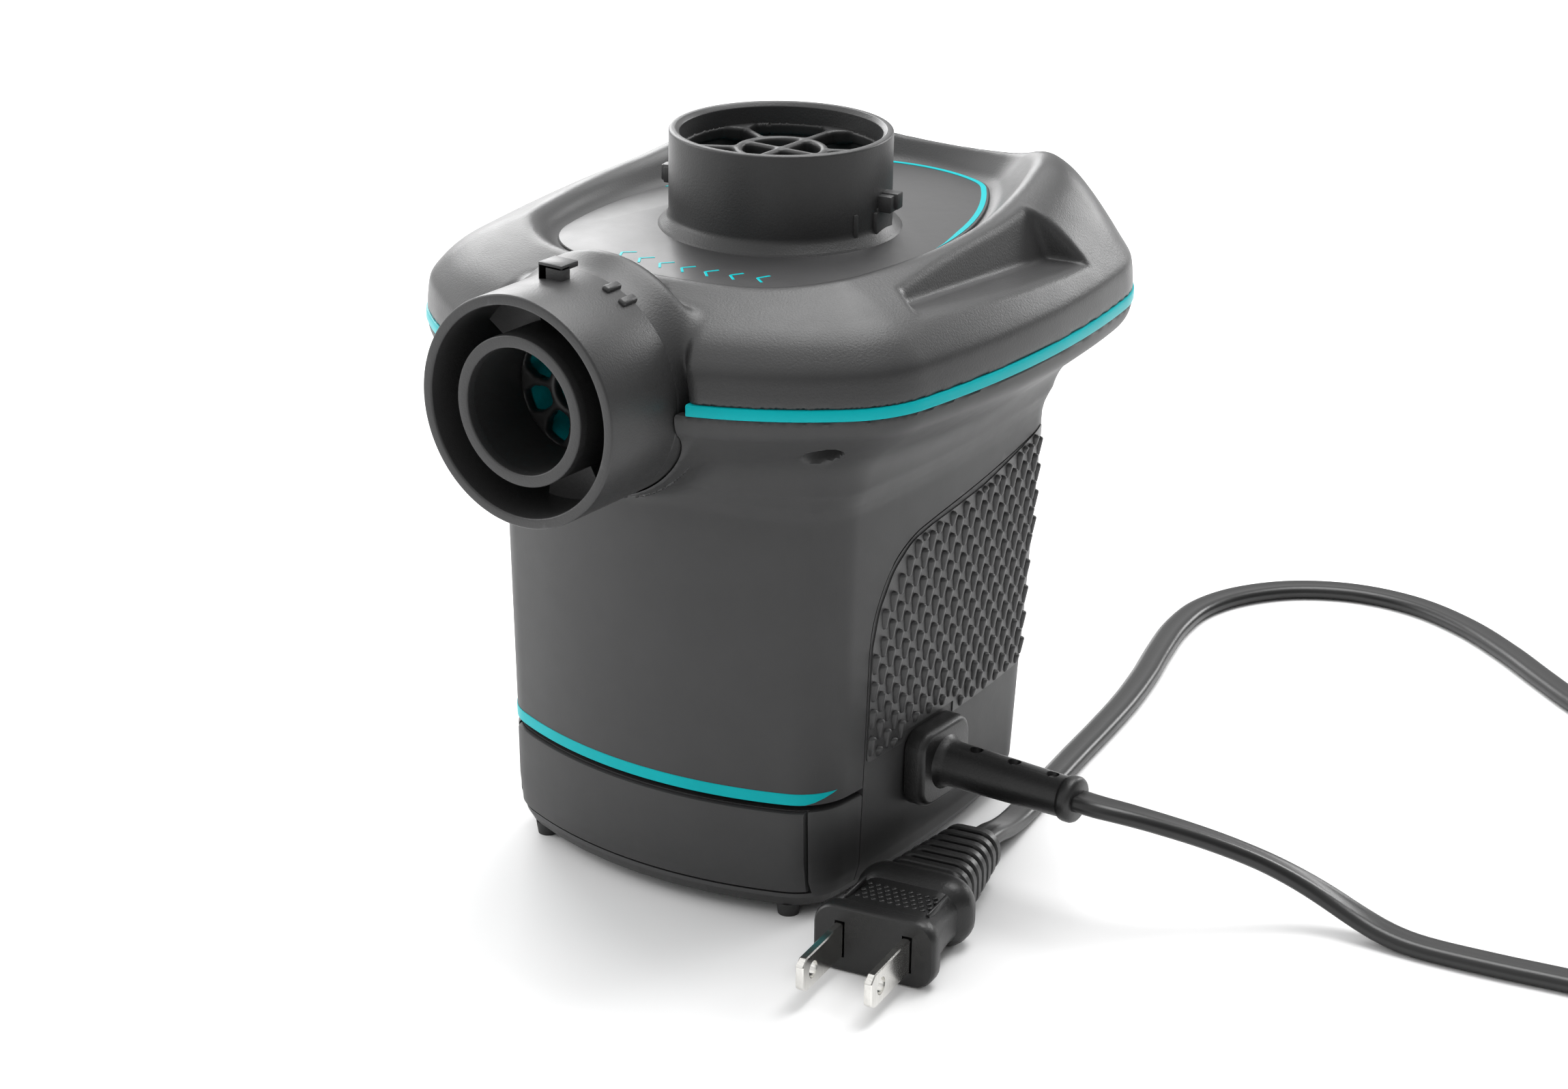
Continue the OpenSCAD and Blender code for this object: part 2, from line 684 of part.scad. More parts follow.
rocker_axis = -2.6;
module switch_case()
    color([0.1, 0.1, 0.1]) at_axis() on_back() difference() {
        union() {
            translate([-7, -11, -10]) cube([14, 11.1, 20]);
            translate([-8.6, 0.1, -11.6]) cube([17.2, 1.3, 23.2]);
        }
        translate([-5.6, -7.5, -8.6]) cube([11.2, 20, 17.2]);
        translate([-7.5, rocker_axis, 0]) rotate([0, 90, 0]) cylinder(h = 15, r = 1);
    }
module rocker_pin()
    color([0.6, 0.6, 0.62]) at_axis() on_back()
        translate([-6.6, rocker_axis, 0]) rotate([0, 90, 0]) cylinder(h = 13.2, r = 1);
// The rocker, drawn with its lower half pressed in, which is off.
module switch_rocker()
    color([0.08, 0.08, 0.08]) at_axis() on_back()
        translate([0, rocker_axis, 0]) rotate([-rocker_travel / 2, 0, 0]) difference() {
            rotate([90, 0, 90]) translate([0, 0, -5.2]) linear_extrude(10.4)
                polygon([[-2.2, -2.5], [-1, -7.4], [3.4, -7.4], [3.9, 0], [3.4, 7.4], [-1, 7.4],
                    [-2.2, 2.5]]);
            translate([-7, 0, 0]) rotate([0, 90, 0]) cylinder(h = 14, r = 1.05);
        }
module switch_terminals()
    color([0.8, 0.7, 0.4]) at_axis() on_back() for (z = [-5, 5])
        translate([-2.4, -16, z - 0.4]) cube([4.8, 5, 0.8]);

// A path through points with round sections: the polyhedron has one ring at each point.
function unit(v) = v / norm(v);
function heading(p, i) =
    unit(i == 0 ? p[1] - p[0] : i == len(p) - 1 ? p[i] - p[i - 1] : p[i + 1] - p[i - 1]);
function ring_at(p, i, w, t, n) =
    let (d = heading(p, i), s = unit(cross(d, [0, 0, 1])), u = cross(s, d))
    [for (k = [0:n - 1]) let (a = 360 * (k + 0.5) / n, e = 1 / cos(180 / n))
        p[i] + s * (w / 2) * e * cos(a) + u * (t / 2) * e * sin(a)];
module swept(p, w, t, n = 8) {
    m = len(p);
    rings = [for (i = [0:m - 1]) each ring_at(p, i, w, t, n)];
    sides = [for (i = [0:m - 2], k = [0:n - 1])
        [i * n + k, i * n + (k + 1) % n, (i + 1) * n + (k + 1) % n, (i + 1) * n + k]];
    ends = [[for (k = [n - 1:-1:0]) k], [for (k = [0:n - 1]) (m - 1) * n + k]];
    polyhedron(points = rings, faces = concat(sides, ends), convexity = 10);
}
module inner_leads()
    color([0.85, 0.85, 0.85]) at_axis() for (s = [-1, 1])
        swept([[31.4, cord_y + 1.4 * s, cord_z], [29.8, cord_y + 1.4 * s, cord_z],
               [29.2, 3 + s, cord_z + 1.2 * s], [29.4, 12 + s, cord_z + 4 + 1.6 * s],
               [25, 25, 31 + 2 * s], [17, 33.4, 40 + 2.5 * s], [9.5, 34, 51 + 4 * s],
               [5.4, 33.2, switch_z + 1 + 5 * s], [2.4, 33.2, switch_z + 1 + 5 * s]], 1.6, 1.6);

// --- cord -----------------------------------------------------------------------------------
module strain_relief()
    color([0.1, 0.1, 0.1]) at_axis() translate([0, cord_y, cord_z]) rotate([90, 0, 90]) difference() {
        union() {
            translate([0, 0, relief_x]) linear_extrude(sleeve_x - relief_x) polygon(round_box(16, 14.6, 3.5));
            translate([0, 0, 33.6]) linear_extrude(relief_x - 33.5) polygon(round_box(12, 11, 2));
            translate([0, 0, 31.4]) linear_extrude(2.4) polygon(round_box(15, 14, 2));
            translate([0, 0, sleeve_x]) cylinder(h = sleeve_end - sleeve_x, r = sleeve_r);
        }
        for (z = [46.5, 54.5, 62.5]) translate([-1.6, sleeve_r - 0.9, z]) cube([3.2, 2, 2.2]);
    }

// The route is in the pump's own frame, from the sleeve to the coil, and from the coil to the plug.
lead_route = [
    [69, 2, 22.3], [73, 2.1, 22.2], [78, 4.4, 21.2], [83, 8, 19.3], [88, 12, 17], [93, 16, 14.4],
    [98, 19.8, 11.5], [103, 22.5, 8.7], [108, 24, 6.2], [114, 24.6, 3.7], [120, 24.6, 2.1],
    [127, 24.8, 1.5], [139, 26.3, 1.5], [151.2, 28.5, 1.5], [165.4, 31, 1.5], [178.7, 36.3, 1.5],
    [190.1, 44.8, 1.5], [199, 56, 1.5], [204.6, 69.3, 1.5], [206.3, 80, 1.5], [206.2, 88, 1.5]
];
tail_route = [
    [173, 121.2, 10.8], [160, 122.4, 8.6], [147, 124.6, 5.2], [134, 128, 2.6], [121, 133, 1.5],
    [108, 140, 1.5], [96, 148.4, 1.5], [84, 157.2, 1.5], [71, 165, 1.5], [57, 169.6, 1.5],
    [43, 168.8, 1.5], [31, 162.4, 1.5], [23, 152, 1.5], [19.6, 140, 1.5], [20.6, 127, 1.5],
    [24, 113.5, 1.5], [28, 100, 1.5], [31.4, 86, 1.5], [34, 72, 1.5], [36.3, 58, 1.5],
    [38.6, 45, 1.5], [40.8, 33, 1.5], [42.4, 25, 2], [44, 18, 3.4], [45.2, 12, 5.1], [46.2, 5.9, 6.1]
];
coil_at = [173, 88];
coil_r = 30.1;                  // radius at the middle of the turns
coil_cols = 2;
coil_layers = 4;
coil_pitch = 3.1;

module cord_lead() color([0.06, 0.06, 0.06]) swept(lead_route, cord_w, cord_t);
module cord_tail() color([0.06, 0.06, 0.06]) swept(tail_route, cord_w, cord_t);
module cord_coil()
    color([0.06, 0.06, 0.06]) translate([coil_at[0], coil_at[1], 0]) rotate_extrude()
        translate([coil_r - coil_cols * 3.1, 0]) square([coil_cols * 6.2, coil_layers * coil_pitch]);

// The plug lies on its side in front of the pump, with its blades towards -Y.
plug_at = [53.5, -40, 6.3];     // the middle of its face
plug_turn = 9;
blade_pitch = 12.7;
module plug_place() translate(plug_at) rotate([0, 0, plug_turn]) children();
module across(y0, y1, w, h, r)
    translate([0, y1, 0]) rotate([90, 0, 0]) linear_extrude(y1 - y0) polygon(round_box(w, h, r));
module plug_body()
    color([0.07, 0.07, 0.07]) plug_place() difference() {
        union() {
            across(0, 9, 23, 12.6, 4);
            across(9, 17, 19, 11, 4);
            across(17, 21, 22, 12.6, 5);
            across(21, 30, 13, 10.4, 3.4);
            across(30, 46.5, 8.4, 6.2, 2);
            for (y = [31.5:3.2:42]) across(y, y + 1.8, 10.6, 8.2, 2.6);
        }
        for (s = [-1, 1]) translate([s * blade_pitch / 2 - 0.75, -1, -3.2]) cube([1.5, 9, 6.4]);
    }
module plug_blades()
    color([0.8, 0.8, 0.82]) plug_place() for (s = [-1, 1]) translate([s * blade_pitch / 2, 0, 0])
    difference() {
        translate([-0.75, -16, -3.2]) cube([1.5, 24, 6.4]);
        translate([-3, -12, 0]) rotate([0, 90, 0]) cylinder(h = 6, r = 1.6);
    }

lid_shell();
seam_band();
label_plate();
label_trim();
intake_port();
outlet_port();
intake_grille();
body_shell();
accent_strip();
rear_shell();
base_front();
badge_panel();
bottom_plate();
feet();
grip_right();
grip_left();
housing_screws();
base_screws();
fan_case();
fan_case_cover();
outlet_grille();
impeller();
impeller_nut();
motor_shaft();
armature_core();
armature_windings();
commutator();
stator_core();
field_coils();
upper_bracket();
lower_bracket();
upper_bearing();
lower_bearing();
brush_holders();
brushes();
brush_springs();
motor_screws();
switch_case();
switch_rocker();
rocker_pin();
switch_terminals();
inner_leads();
strain_relief();
cord_lead();
cord_coil();
cord_tail();
plug_body();
plug_blades();
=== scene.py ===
import bpy, bmesh, math
import numpy as np
from mathutils import Vector, Matrix


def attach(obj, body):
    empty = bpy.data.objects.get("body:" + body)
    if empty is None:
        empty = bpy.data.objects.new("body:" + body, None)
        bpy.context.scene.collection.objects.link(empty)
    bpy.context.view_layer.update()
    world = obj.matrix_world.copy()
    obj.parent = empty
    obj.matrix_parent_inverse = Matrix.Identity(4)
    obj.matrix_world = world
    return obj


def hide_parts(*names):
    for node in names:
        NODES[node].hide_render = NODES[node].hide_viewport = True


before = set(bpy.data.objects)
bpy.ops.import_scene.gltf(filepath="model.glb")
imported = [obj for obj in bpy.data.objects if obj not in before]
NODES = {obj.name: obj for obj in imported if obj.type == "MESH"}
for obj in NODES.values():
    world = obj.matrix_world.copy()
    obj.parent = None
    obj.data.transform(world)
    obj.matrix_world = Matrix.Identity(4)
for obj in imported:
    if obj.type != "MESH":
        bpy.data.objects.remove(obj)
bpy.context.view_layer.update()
MM = 0.001
AY = 6.0                     # the fan axis in the row frame, mm

# ---------------------------------------------------------------- camera
SENSOR, LENS = 36, 78.80                                 # mm
EYE = (0.33948, -0.48054, 0.28524)                       # metres
LOOK, LEVEL = (-0.53112, 0.76532, -0.36358), (0.81857, 0.57426, 0.01301)
cam_data = bpy.data.cameras.new("camera")
cam = bpy.data.objects.new("camera", cam_data)
bpy.context.scene.collection.objects.link(cam)
cam_data.sensor_width = SENSOR
cam_data.lens = LENS
cam_data.clip_start = 0.02
fwd = Vector(LOOK).normalized()
up = Vector(LEVEL).normalized().cross(fwd).normalized()
right = fwd.cross(up).normalized()
rot = Matrix((right, up, -fwd)).transposed()
cam.matrix_world = Matrix.Translation(Vector(EYE)) @ rot.to_4x4()
bpy.context.scene.camera = cam

# ---------------------------------------------------------------- materials
def nodes_of(name):
    m = bpy.data.materials.new(name)
    m.use_nodes = True
    t = m.node_tree
    return m, t, t.nodes["Principled BSDF"]

def ramp(t, fac, stops):
    r = t.nodes.new("ShaderNodeValToRGB")
    els = r.color_ramp.elements
    els[0].position, els[0].color = stops[0][0], (*stops[0][1], 1)
    els[1].position, els[1].color = stops[1][0], (*stops[1][1], 1)
    for p, c in stops[2:]:
        els.new(p).color = (*c, 1)
    t.links.new(fac, r.inputs["Fac"])
    return r.outputs["Color"]

def noise(t, scale, detail=2.0, rough=0.5, stretch=(1, 1, 1)):
    coord = t.nodes.new("ShaderNodeTexCoord").outputs["Object"]
    if stretch != (1, 1, 1):
        mp = t.nodes.new("ShaderNodeMapping")
        mp.inputs["Scale"].default_value = stretch
        t.links.new(coord, mp.inputs["Vector"])
        coord = mp.outputs["Vector"]
    n = t.nodes.new("ShaderNodeTexNoise")
    n.inputs["Scale"].default_value = scale
    n.inputs["Detail"].default_value = detail
    n.inputs["Roughness"].default_value = rough
    t.links.new(coord, n.inputs["Vector"])
    return n.outputs["Fac"]

def map_range(t, value, source=(0, 1), to=(0, 1)):
    """The value taken from one range to another."""
    r = t.nodes.new("ShaderNodeMapRange")
    for k, v in zip(("From Min", "From Max", "To Min", "To Max"), (*source, *to)):
        r.inputs[k].default_value = v
    t.links.new(value, r.inputs["Value"])
    return r.outputs["Result"]

def mix_colour(t, factor, a):
    """A mix node that turns colour a into its input B by the factor."""
    mix = t.nodes.new("ShaderNodeMix")
    mix.data_type = "RGBA"
    t.links.new(factor, mix.inputs["Factor"])
    t.links.new(a, mix.inputs["A"])
    return mix

def bump(t, b, height, strength, depth):
    n = t.nodes.new("ShaderNodeBump")
    n.inputs["Strength"].default_value = strength
    n.inputs["Distance"].default_value = depth
    t.links.new(height, n.inputs["Height"])
    t.links.new(n.outputs["Normal"], b.inputs["Normal"])

def grey(v):
    return (v, v, v * 1.015)

EDGE = (0.53, 0.62)          # the pointiness over which edges get a painted highlight
GRAIN_DEPTH, BRUSH_DEPTH = 0.00012, 0.00004              # metres

def plastic(name, base, rough, grain=0.0, grain_scale=5200.0, edge_sheen=0.25, spec=0.5, vary=0.08, mottle=60.0):
    """Moulded plastic: a fine grain in the bump, uneven gloss, and sharp edges painted paler as a highlight."""
    m, t, b = nodes_of(name)
    lo = tuple(c * (1 - vary) for c in base)
    hi = tuple(c * (1 + vary) for c in base)
    col = ramp(t, noise(t, mottle, 4, 0.6), [(0.35, lo), (0.65, hi)])
    # sharp convex edges are mixed towards a paler colour: a painted highlight along the edges
    edge = map_range(t, t.nodes.new("ShaderNodeNewGeometry").outputs["Pointiness"], EDGE)
    sc = t.nodes.new("ShaderNodeMath")
    sc.operation = "MULTIPLY"
    sc.inputs[1].default_value = edge_sheen
    t.links.new(edge, sc.inputs[0])
    mix = mix_colour(t, sc.outputs[0], col)
    mix.inputs["B"].default_value = (*[min(1, c * 2.2 + 0.02) for c in base], 1)
    t.links.new(mix.outputs["Result"], b.inputs["Base Color"])
    gloss = (max(0.05, rough - 0.05), min(1, rough + 0.06))
    t.links.new(map_range(t, noise(t, mottle * 3.1, 5, 0.65), to=gloss), b.inputs["Roughness"])
    b.inputs["Specular IOR Level"].default_value = spec
    if grain:
        bump(t, b, noise(t, grain_scale, 2, 0.6), grain, GRAIN_DEPTH)
    return m

def metal(name, base, rough, brush=(1, 1, 1), scale=900.0, strength=0.15):
    """Metal with faint streaks in its colour, gloss and bump; brush stretches them."""
    m, t, b = nodes_of(name)
    lo = tuple(c * 0.86 for c in base)
    hi = tuple(min(1, c * 1.1) for c in base)
    f = noise(t, scale, 4, 0.6, brush)
    t.links.new(ramp(t, f, [(0.3, lo), (0.7, hi)]), b.inputs["Base Color"])
    b.inputs["Metallic"].default_value = 1.0
    t.links.new(map_range(t, f, to=(max(0.04, rough - 0.08), rough + 0.1)), b.inputs["Roughness"])
    bump(t, b, f, strength, BRUSH_DEPTH)
    return m

M = {
    "lid": plastic("lid_plastic", grey(0.029), 0.40, 0.34, 2600, 0.3, 0.45, 0.05),
    "body": plastic("body_plastic", grey(0.037), 0.50, 0.10, 3800, 0.25, 0.35, 0.04),
    "grip": plastic("grip_rubber", grey(0.030), 0.40, 0.22, 3000, 0.25, 0.5, 0.08),
    "accent": plastic("accent_gloss", (0.0, 0.37, 0.40), 0.36, 0.05, 2600, 0.05, 0.12, 0.04),
    "label": plastic("label_film", grey(0.036), 0.38, 0.12, 5200, 0.0, 0.5, 0.03),
    "inner": plastic("inner_plastic", grey(0.016), 0.45, 0.2, 3000, 0.2),
    "impeller": plastic("impeller_plastic", (0.0, 0.36, 0.40), 0.4, 0.1, 3000, 0.2),
    "cord": plastic("cord_pvc", grey(0.006), 0.34, 0.12, 2400, 0.2, 0.5, 0.1),
    "plug": plastic("plug_pvc", grey(0.006), 0.40, 0.3, 2600, 0.25, 0.5, 0.1),
    "feet": plastic("foot_rubber", grey(0.02), 0.7, 0.3, 2600, 0.1),
    "switch": plastic("switch_plastic", grey(0.016), 0.3, 0.1, 2600, 0.2),
    "carbon": plastic("carbon", grey(0.03), 0.6, 0.3, 3000, 0.1),
    "steel": metal("steel", (0.52, 0.52, 0.54), 0.28, (1, 1, 12)),
    "dark_steel": metal("dark_steel", (0.06, 0.06, 0.065), 0.4),
    "lamination": metal("laminations", (0.30, 0.30, 0.32), 0.42, (1, 1, 60), 600, 0.5),
    "bracket": metal("bracket", (0.56, 0.56, 0.58), 0.36),
    "bronze": metal("bronze", (0.50, 0.36, 0.17), 0.4),
    "brass": metal("brass", (0.66, 0.52, 0.25), 0.28),
    "copper": metal("copper", (0.56, 0.24, 0.09), 0.32, (1, 1, 30), 700, 0.5),
    "nickel": metal("nickel", (0.74, 0.73, 0.70), 0.17, (1, 8, 1), 500, 0.08),
}

def two_tone(name, front, back, at):
    """One moulding whose part behind at (metres along y) has another colour."""
    m = plastic(name, front, 0.45, 0.2, 3000, 0.1)
    t = m.node_tree
    b = t.nodes["Principled BSDF"]
    old = b.inputs["Base Color"].links[0].from_socket
    sep = t.nodes.new("ShaderNodeSeparateXYZ")
    t.links.new(t.nodes.new("ShaderNodeTexCoord").outputs["Object"], sep.inputs[0])
    mix = mix_colour(t, map_range(t, sep.outputs["Y"], (at, at + 0.0004)), old)
    stops = [(0.35, tuple(c * 0.9 for c in back)), (0.65, back)]
    t.links.new(ramp(t, noise(t, 70, 4, 0.6), stops), mix.inputs["B"])
    t.links.new(mix.outputs["Result"], b.inputs["Base Color"])
    return m

# the fan case is dark as far in as its grille, and the band's colour behind it
M["fan_case"] = two_tone("fan_case_plastic", grey(0.016), (0.0, 0.42, 0.46), -0.0522)

def paint(o, key):
    o.data.materials.clear()
    o.data.materials.append(M[key])

CAD_PAINT = {
    "lid": "lid_shell intake_port outlet_port",
    "body": "body_shell rear_shell base_front badge_panel",
    "accent": "seam_band label_trim accent_strip",
    "label": "label_plate",
    "grip": "grip_right grip_left",
    "inner": "intake_grille outlet_grille bottom_plate fan_case_cover",
    "fan_case": "fan_case",
    "impeller": "impeller",
    "feet": "feet",
    "plug": "strain_relief plug_body",
    "cord": "cord_lead cord_coil cord_tail inner_leads",
    "switch": "switch_case switch_rocker",
    "carbon": "brushes",
    "steel": "base_screws impeller_nut motor_shaft brush_springs motor_screws rocker_pin",
    "dark_steel": "housing_screws",
    "lamination": "armature_core stator_core",
    "copper": "armature_windings commutator field_coils",
    "bracket": "upper_bracket lower_bracket",
    "bronze": "upper_bearing lower_bearing",
    "brass": "brush_holders switch_terminals",
    "nickel": "plug_blades",
}
for key, names in CAD_PAINT.items():
    for n in names.split():
        paint(NODES[n], key)

# ---------------------------------------------------------------- mesh helpers (mm in, metres out)
def make(name, verts, faces, mat, body="pump"):
    """A smooth-shaded mesh that rides a body."""
    me = bpy.data.meshes.new(name)
    v = np.asarray(verts, dtype=float) * MM
    me.from_pydata([tuple(p) for p in v], [], [tuple(int(i) for i in f) for f in faces])
    me.validate()
    o = bpy.data.objects.new(name, me)
    bpy.context.scene.collection.objects.link(o)
    bm = bmesh.new()
    bm.from_mesh(me)
    bmesh.ops.remove_doubles(bm, verts=bm.verts, dist=1e-7)
    bmesh.ops.recalc_face_normals(bm, faces=bm.faces)
    bm.to_mesh(me)
    bm.free()
    me.shade_smooth()
    paint(o, mat)
    if body:
        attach(o, body)
    return o

def sharp(o, angle=35):
    """Smooth shading that breaks at edges steeper than angle."""
    bm = bmesh.new()
    bm.from_mesh(o.data)
    lim = math.radians(angle)
    for e in bm.edges:
        e.smooth = not (len(e.link_faces) == 2 and e.calc_face_angle(0) > lim)
    for f in bm.faces:
        f.smooth = True
    bm.to_mesh(o.data)
    bm.free()
    return o

def grid_faces(rows, cols):
    """Quads between rows of points, each row closed on itself."""
    f = []
    for i in range(rows - 1):
        a, b = i * cols, (i + 1) * cols
        for j in range(cols):
            k = (j + 1) % cols
            f.append((a + j, a + k, b + k, b + j))
    return f

def ring_part(rings):
    """A closed body whose surface runs through the rings and back to the first one."""
    n = len(rings[0])
    v = np.concatenate([np.asarray(r, float) for r in rings])
    f = grid_faces(len(rings), n)
    m = len(rings)
    f += [((m - 1) * n + j, (m - 1) * n + (j + 1) % n, (j + 1) % n, j) for j in range(n)]
    return v, f

def solid_part(rings):
    """A solid lofted through the rings, with flat ends."""
    n = len(rings[0])
    v = np.concatenate([np.asarray(r, float) for r in rings])
    f = grid_faces(len(rings), n)
    return v, f + [tuple(range(n - 1, -1, -1)), tuple((len(rings) - 1) * n + k for k in range(n))]

def circle(n):
    """The points of a circle of radius 1, as (x, y)."""
    a = np.arange(n) * 2 * np.pi / n
    return np.stack([np.cos(a), np.sin(a)], 1)

def lathe(profile, n=128, axis="z", origin=(0, 0, 0)):
    """A closed profile of (radius, height) turned about an axis: z up, or y for the port in front."""
    c, s = circle(n).T
    rows = []
    for r, h in np.asarray(profile, float):
        level = np.full(n, h)
        rows.append(np.stack([r * c, r * s, level] if axis == "z" else [r * c, level, -r * s], 1))
    v, f = ring_part(rows)
    return v + np.asarray(origin, float), f

def rounded(points, radius, seg=4):
    """A closed profile with its corners rounded: radius is one number or one for each corner."""
    pts = [np.asarray(p, float) for p in points]
    n = len(pts)
    rad = [radius] * n if np.isscalar(radius) else list(radius)
    out = []
    for i in range(n):
        a, b, c = pts[i - 1], pts[i], pts[(i + 1) % n]
        r = rad[i]
        if r <= 0:
            out.append(b)
            continue
        u, w = (a - b), (c - b)
        lu, lw = np.linalg.norm(u), np.linalg.norm(w)
        u, w = u / lu, w / lw
        half = math.acos(max(-1, min(1, float(u @ w)))) / 2
        d = min(r / math.tan(half), lu * 0.49, lw * 0.49)
        rr = d * math.tan(half)
        p0, p1 = b + u * d, b + w * d
        ctr = b + (u + w) / np.linalg.norm(u + w) * (rr / math.sin(half))
        a0 = math.atan2(*(p0 - ctr)[::-1])
        a1 = math.atan2(*(p1 - ctr)[::-1])
        da = (a1 - a0 + math.pi) % (2 * math.pi) - math.pi
        for k in range(seg + 1):
            t = a0 + da * k / seg
            out.append(ctr + rr * np.array([math.cos(t), math.sin(t)]))
    return out

def joined(parts):
    v, f, o = [], [], 0
    for pv, pf in parts:
        pv = np.asarray(pv, float)
        v.append(pv)
        f += [tuple(i + o for i in q) for q in pf]
        o += len(pv)
    return np.concatenate(v), f

def box_part(lo, hi, bevel=0.3, seg=2, m=None):
    """A bevelled block as (verts, faces) in mm; m is an optional 4x4 placing it."""
    bm = bmesh.new()
    bmesh.ops.create_cube(bm, size=1)
    lo, hi = Vector(lo), Vector(hi)
    for v in bm.verts:
        v.co = Vector([(lo[i] + hi[i]) / 2 + v.co[i] * (hi[i] - lo[i]) for i in range(3)])
    if bevel:
        bmesh.ops.bevel(bm, geom=bm.edges[:], offset=bevel, segments=seg, profile=0.5, affect="EDGES")
    if m is not None:
        bmesh.ops.transform(bm, matrix=m, verts=bm.verts)
    bm.verts.index_update()
    out = [tuple(v.co) for v in bm.verts], [tuple(v.index for v in f.verts) for f in bm.faces]
    bm.free()
    return out

def boolean(o, cutter, op="DIFFERENCE"):
    """Cut o by another object, or keep only what they share, and throw the cutter away."""
    md = o.modifiers.new("cut", "BOOLEAN")
    md.operation = op
    md.solver = "EXACT"
    md.object = cutter
    dg = bpy.context.evaluated_depsgraph_get()
    me = bpy.data.meshes.new_from_object(o.evaluated_get(dg))
    o.modifiers.clear()
    old = o.data
    o.data = me
    bpy.data.meshes.remove(old)
    bpy.data.objects.remove(cutter, do_unlink=True)

def cut(o, part, op="DIFFERENCE"):
    boolean(o, make("cut", *part, "body", body=None), op)

def catmull(points, step=1.0):
    """A smooth line through the points, with a point about every step mm."""
    p = np.asarray(points, float)
    p = np.concatenate([[2 * p[0] - p[1]], p, [2 * p[-1] - p[-2]]])
    out = []
    for i in range(1, len(p) - 2):
        a, b, c, d = p[i - 1], p[i], p[i + 1], p[i + 2]
        n = max(2, int(round(np.linalg.norm(c - b) / step)))
        for k in range(n):
            t = k / n
            out.append(0.5 * (2 * b + (c - a) * t + (2 * a - 5 * b + 4 * c - d) * t * t
                              + (3 * b - a - 3 * c + d) * t ** 3))
    out.append(p[-2])
    return np.array(out)

def prism(poly, axis, a, b):
    """The solid between a and b along an axis; poly gives the other two coordinates in x, y, z order."""
    ends = []
    for t in (a, b):
        p = np.asarray(poly, float)
        ends.append(np.insert(p, axis, t, axis=1))
    return solid_part(ends)

# ---------------------------------------------------------------- outlines (mm, in the fan-axis frame)
# A plan is [half width, y of the widest place, side radius, front y, front radius, back y, back radius,
# front corner radius, back corner radius].
LID = [54, -1, 205, -62, 66, 63, 90, 22, 25]
LABEL = [32, -4, 82, -39.3, 60, 49.3, 30, 18, 11]
OZ = 100.2                   # the outlet port's axis
DISH_Z, LID_Z, SEAM_Z = 115.0, 101.7, 99.6
WALL = 2.2
PORT_R, PORT_BORE = 20, 18.1
BACK_DRAFT = 0.068           # the body's back wall leans out by this much for each mm up

def body_plan(z):
    k = z - 22
    return [36.7 + 0.03 * k, -9, 300, -44 - 0.0212 * k, 76, 44 + BACK_DRAFT * k, 120, 11, 15]

def grown(p, o):
    """The plan moved outwards by o."""
    return [n + o * k for n, k in zip(p, (1, 0, 1, -1, 1, 1, 1, 1, 1))]

def crossing(ay, ra, bx, by, rb, side):
    """Where a circle centred on (0, ay) meets one centred on (bx, by)."""
    dy = by - ay
    d = np.sqrt(bx * bx + dy * dy)
    ux, uy = bx / d, dy / d
    m = (ra * ra - rb * rb + d * d) / (2 * d)
    k = side * np.sqrt(np.maximum(0, ra * ra - m * m))
    return m * ux - k * uy, ay + m * uy + k * ux

def plan_ring(p, z=0.0, seg=(18, 14, 18, 14, 18)):
    """The plan as a closed ring of points, level at z."""
    w, ys, rs, yf, rfr, yb, rbk, rf, rb = p
    fr, sd, bk = (0, yf + rfr), (w - rs, ys), (0, yb - rbk)
    near = crossing(fr[1], rfr - rf, sd[0], sd[1], rs - rf, 1)
    far = crossing(bk[1], rbk - rb, sd[0], sd[1], rs - rb, -1)
    at = lambda c, q: math.atan2(q[1] - c[1], q[0] - c[0])
    arcs = [(fr, rfr, -math.pi / 2, at(fr, near)), (near, rf, at(fr, near), at(sd, near)),
            (sd, rs, at(sd, near), at(sd, far)), (far, rb, at(sd, far), at(bk, far)),
            (bk, rbk, at(bk, far), math.pi / 2)]
    half = []
    for (c, r, a0, a1), n in zip(arcs, seg):
        for k in range(n):
            a = a0 + (a1 - a0) * k / n
            half.append((c[0] + r * math.cos(a), c[1] + r * math.sin(a)))
    half.append((0, yb))
    ring = half + [(-x, y) for x, y in half[-2:0:-1]]
    return np.array([(x, y, z) for x, y in ring])

def sd_plan(x, y, p):
    """Signed distance to a plan, negative inside. The plan's numbers may be arrays."""
    w, ys, rs, yf, rfr, yb, rbk, rf, rb = p
    x = np.abs(x)
    sx = w - rs
    d = np.hypot(x - sx, y - ys) - rs
    d = np.where(y < yf + rfr, np.maximum(d, np.hypot(x, y - (yf + rfr)) - rfr), d)
    d = np.where(y > yb - rbk, np.maximum(d, np.hypot(x, y - (yb - rbk)) - rbk), d)
    for cy, r, q, side in ((yf + rfr, rfr, rf, 1), (yb - rbk, rbk, rb, -1)):
        fx, fy = crossing(cy, r - q, sx, ys, rs - q, side)
        ux, uy, vx, vy = fx, fy - cy, fx - sx, fy - ys
        px, py = x - fx, y - fy
        det = ux * vy - uy * vx
        a, b = (px * vy - py * vx) / det, (ux * py - uy * px) / det
        d = np.where((a > 0) & (b > 0), np.hypot(px, py) - q, d)
    return d

def step(t):
    t = np.clip(t, 0, 1)
    return t * t * (3 - 2 * t)

def smin(a, b, k):
    """The lower of two fields, blended over k where they meet."""
    h = np.clip(0.5 + 0.5 * (b - a) / k, 0, 1)
    return b * (1 - h) + a * h - k * h * (1 - h)

def smax(a, b, k):
    return -smin(-a, -b, k)

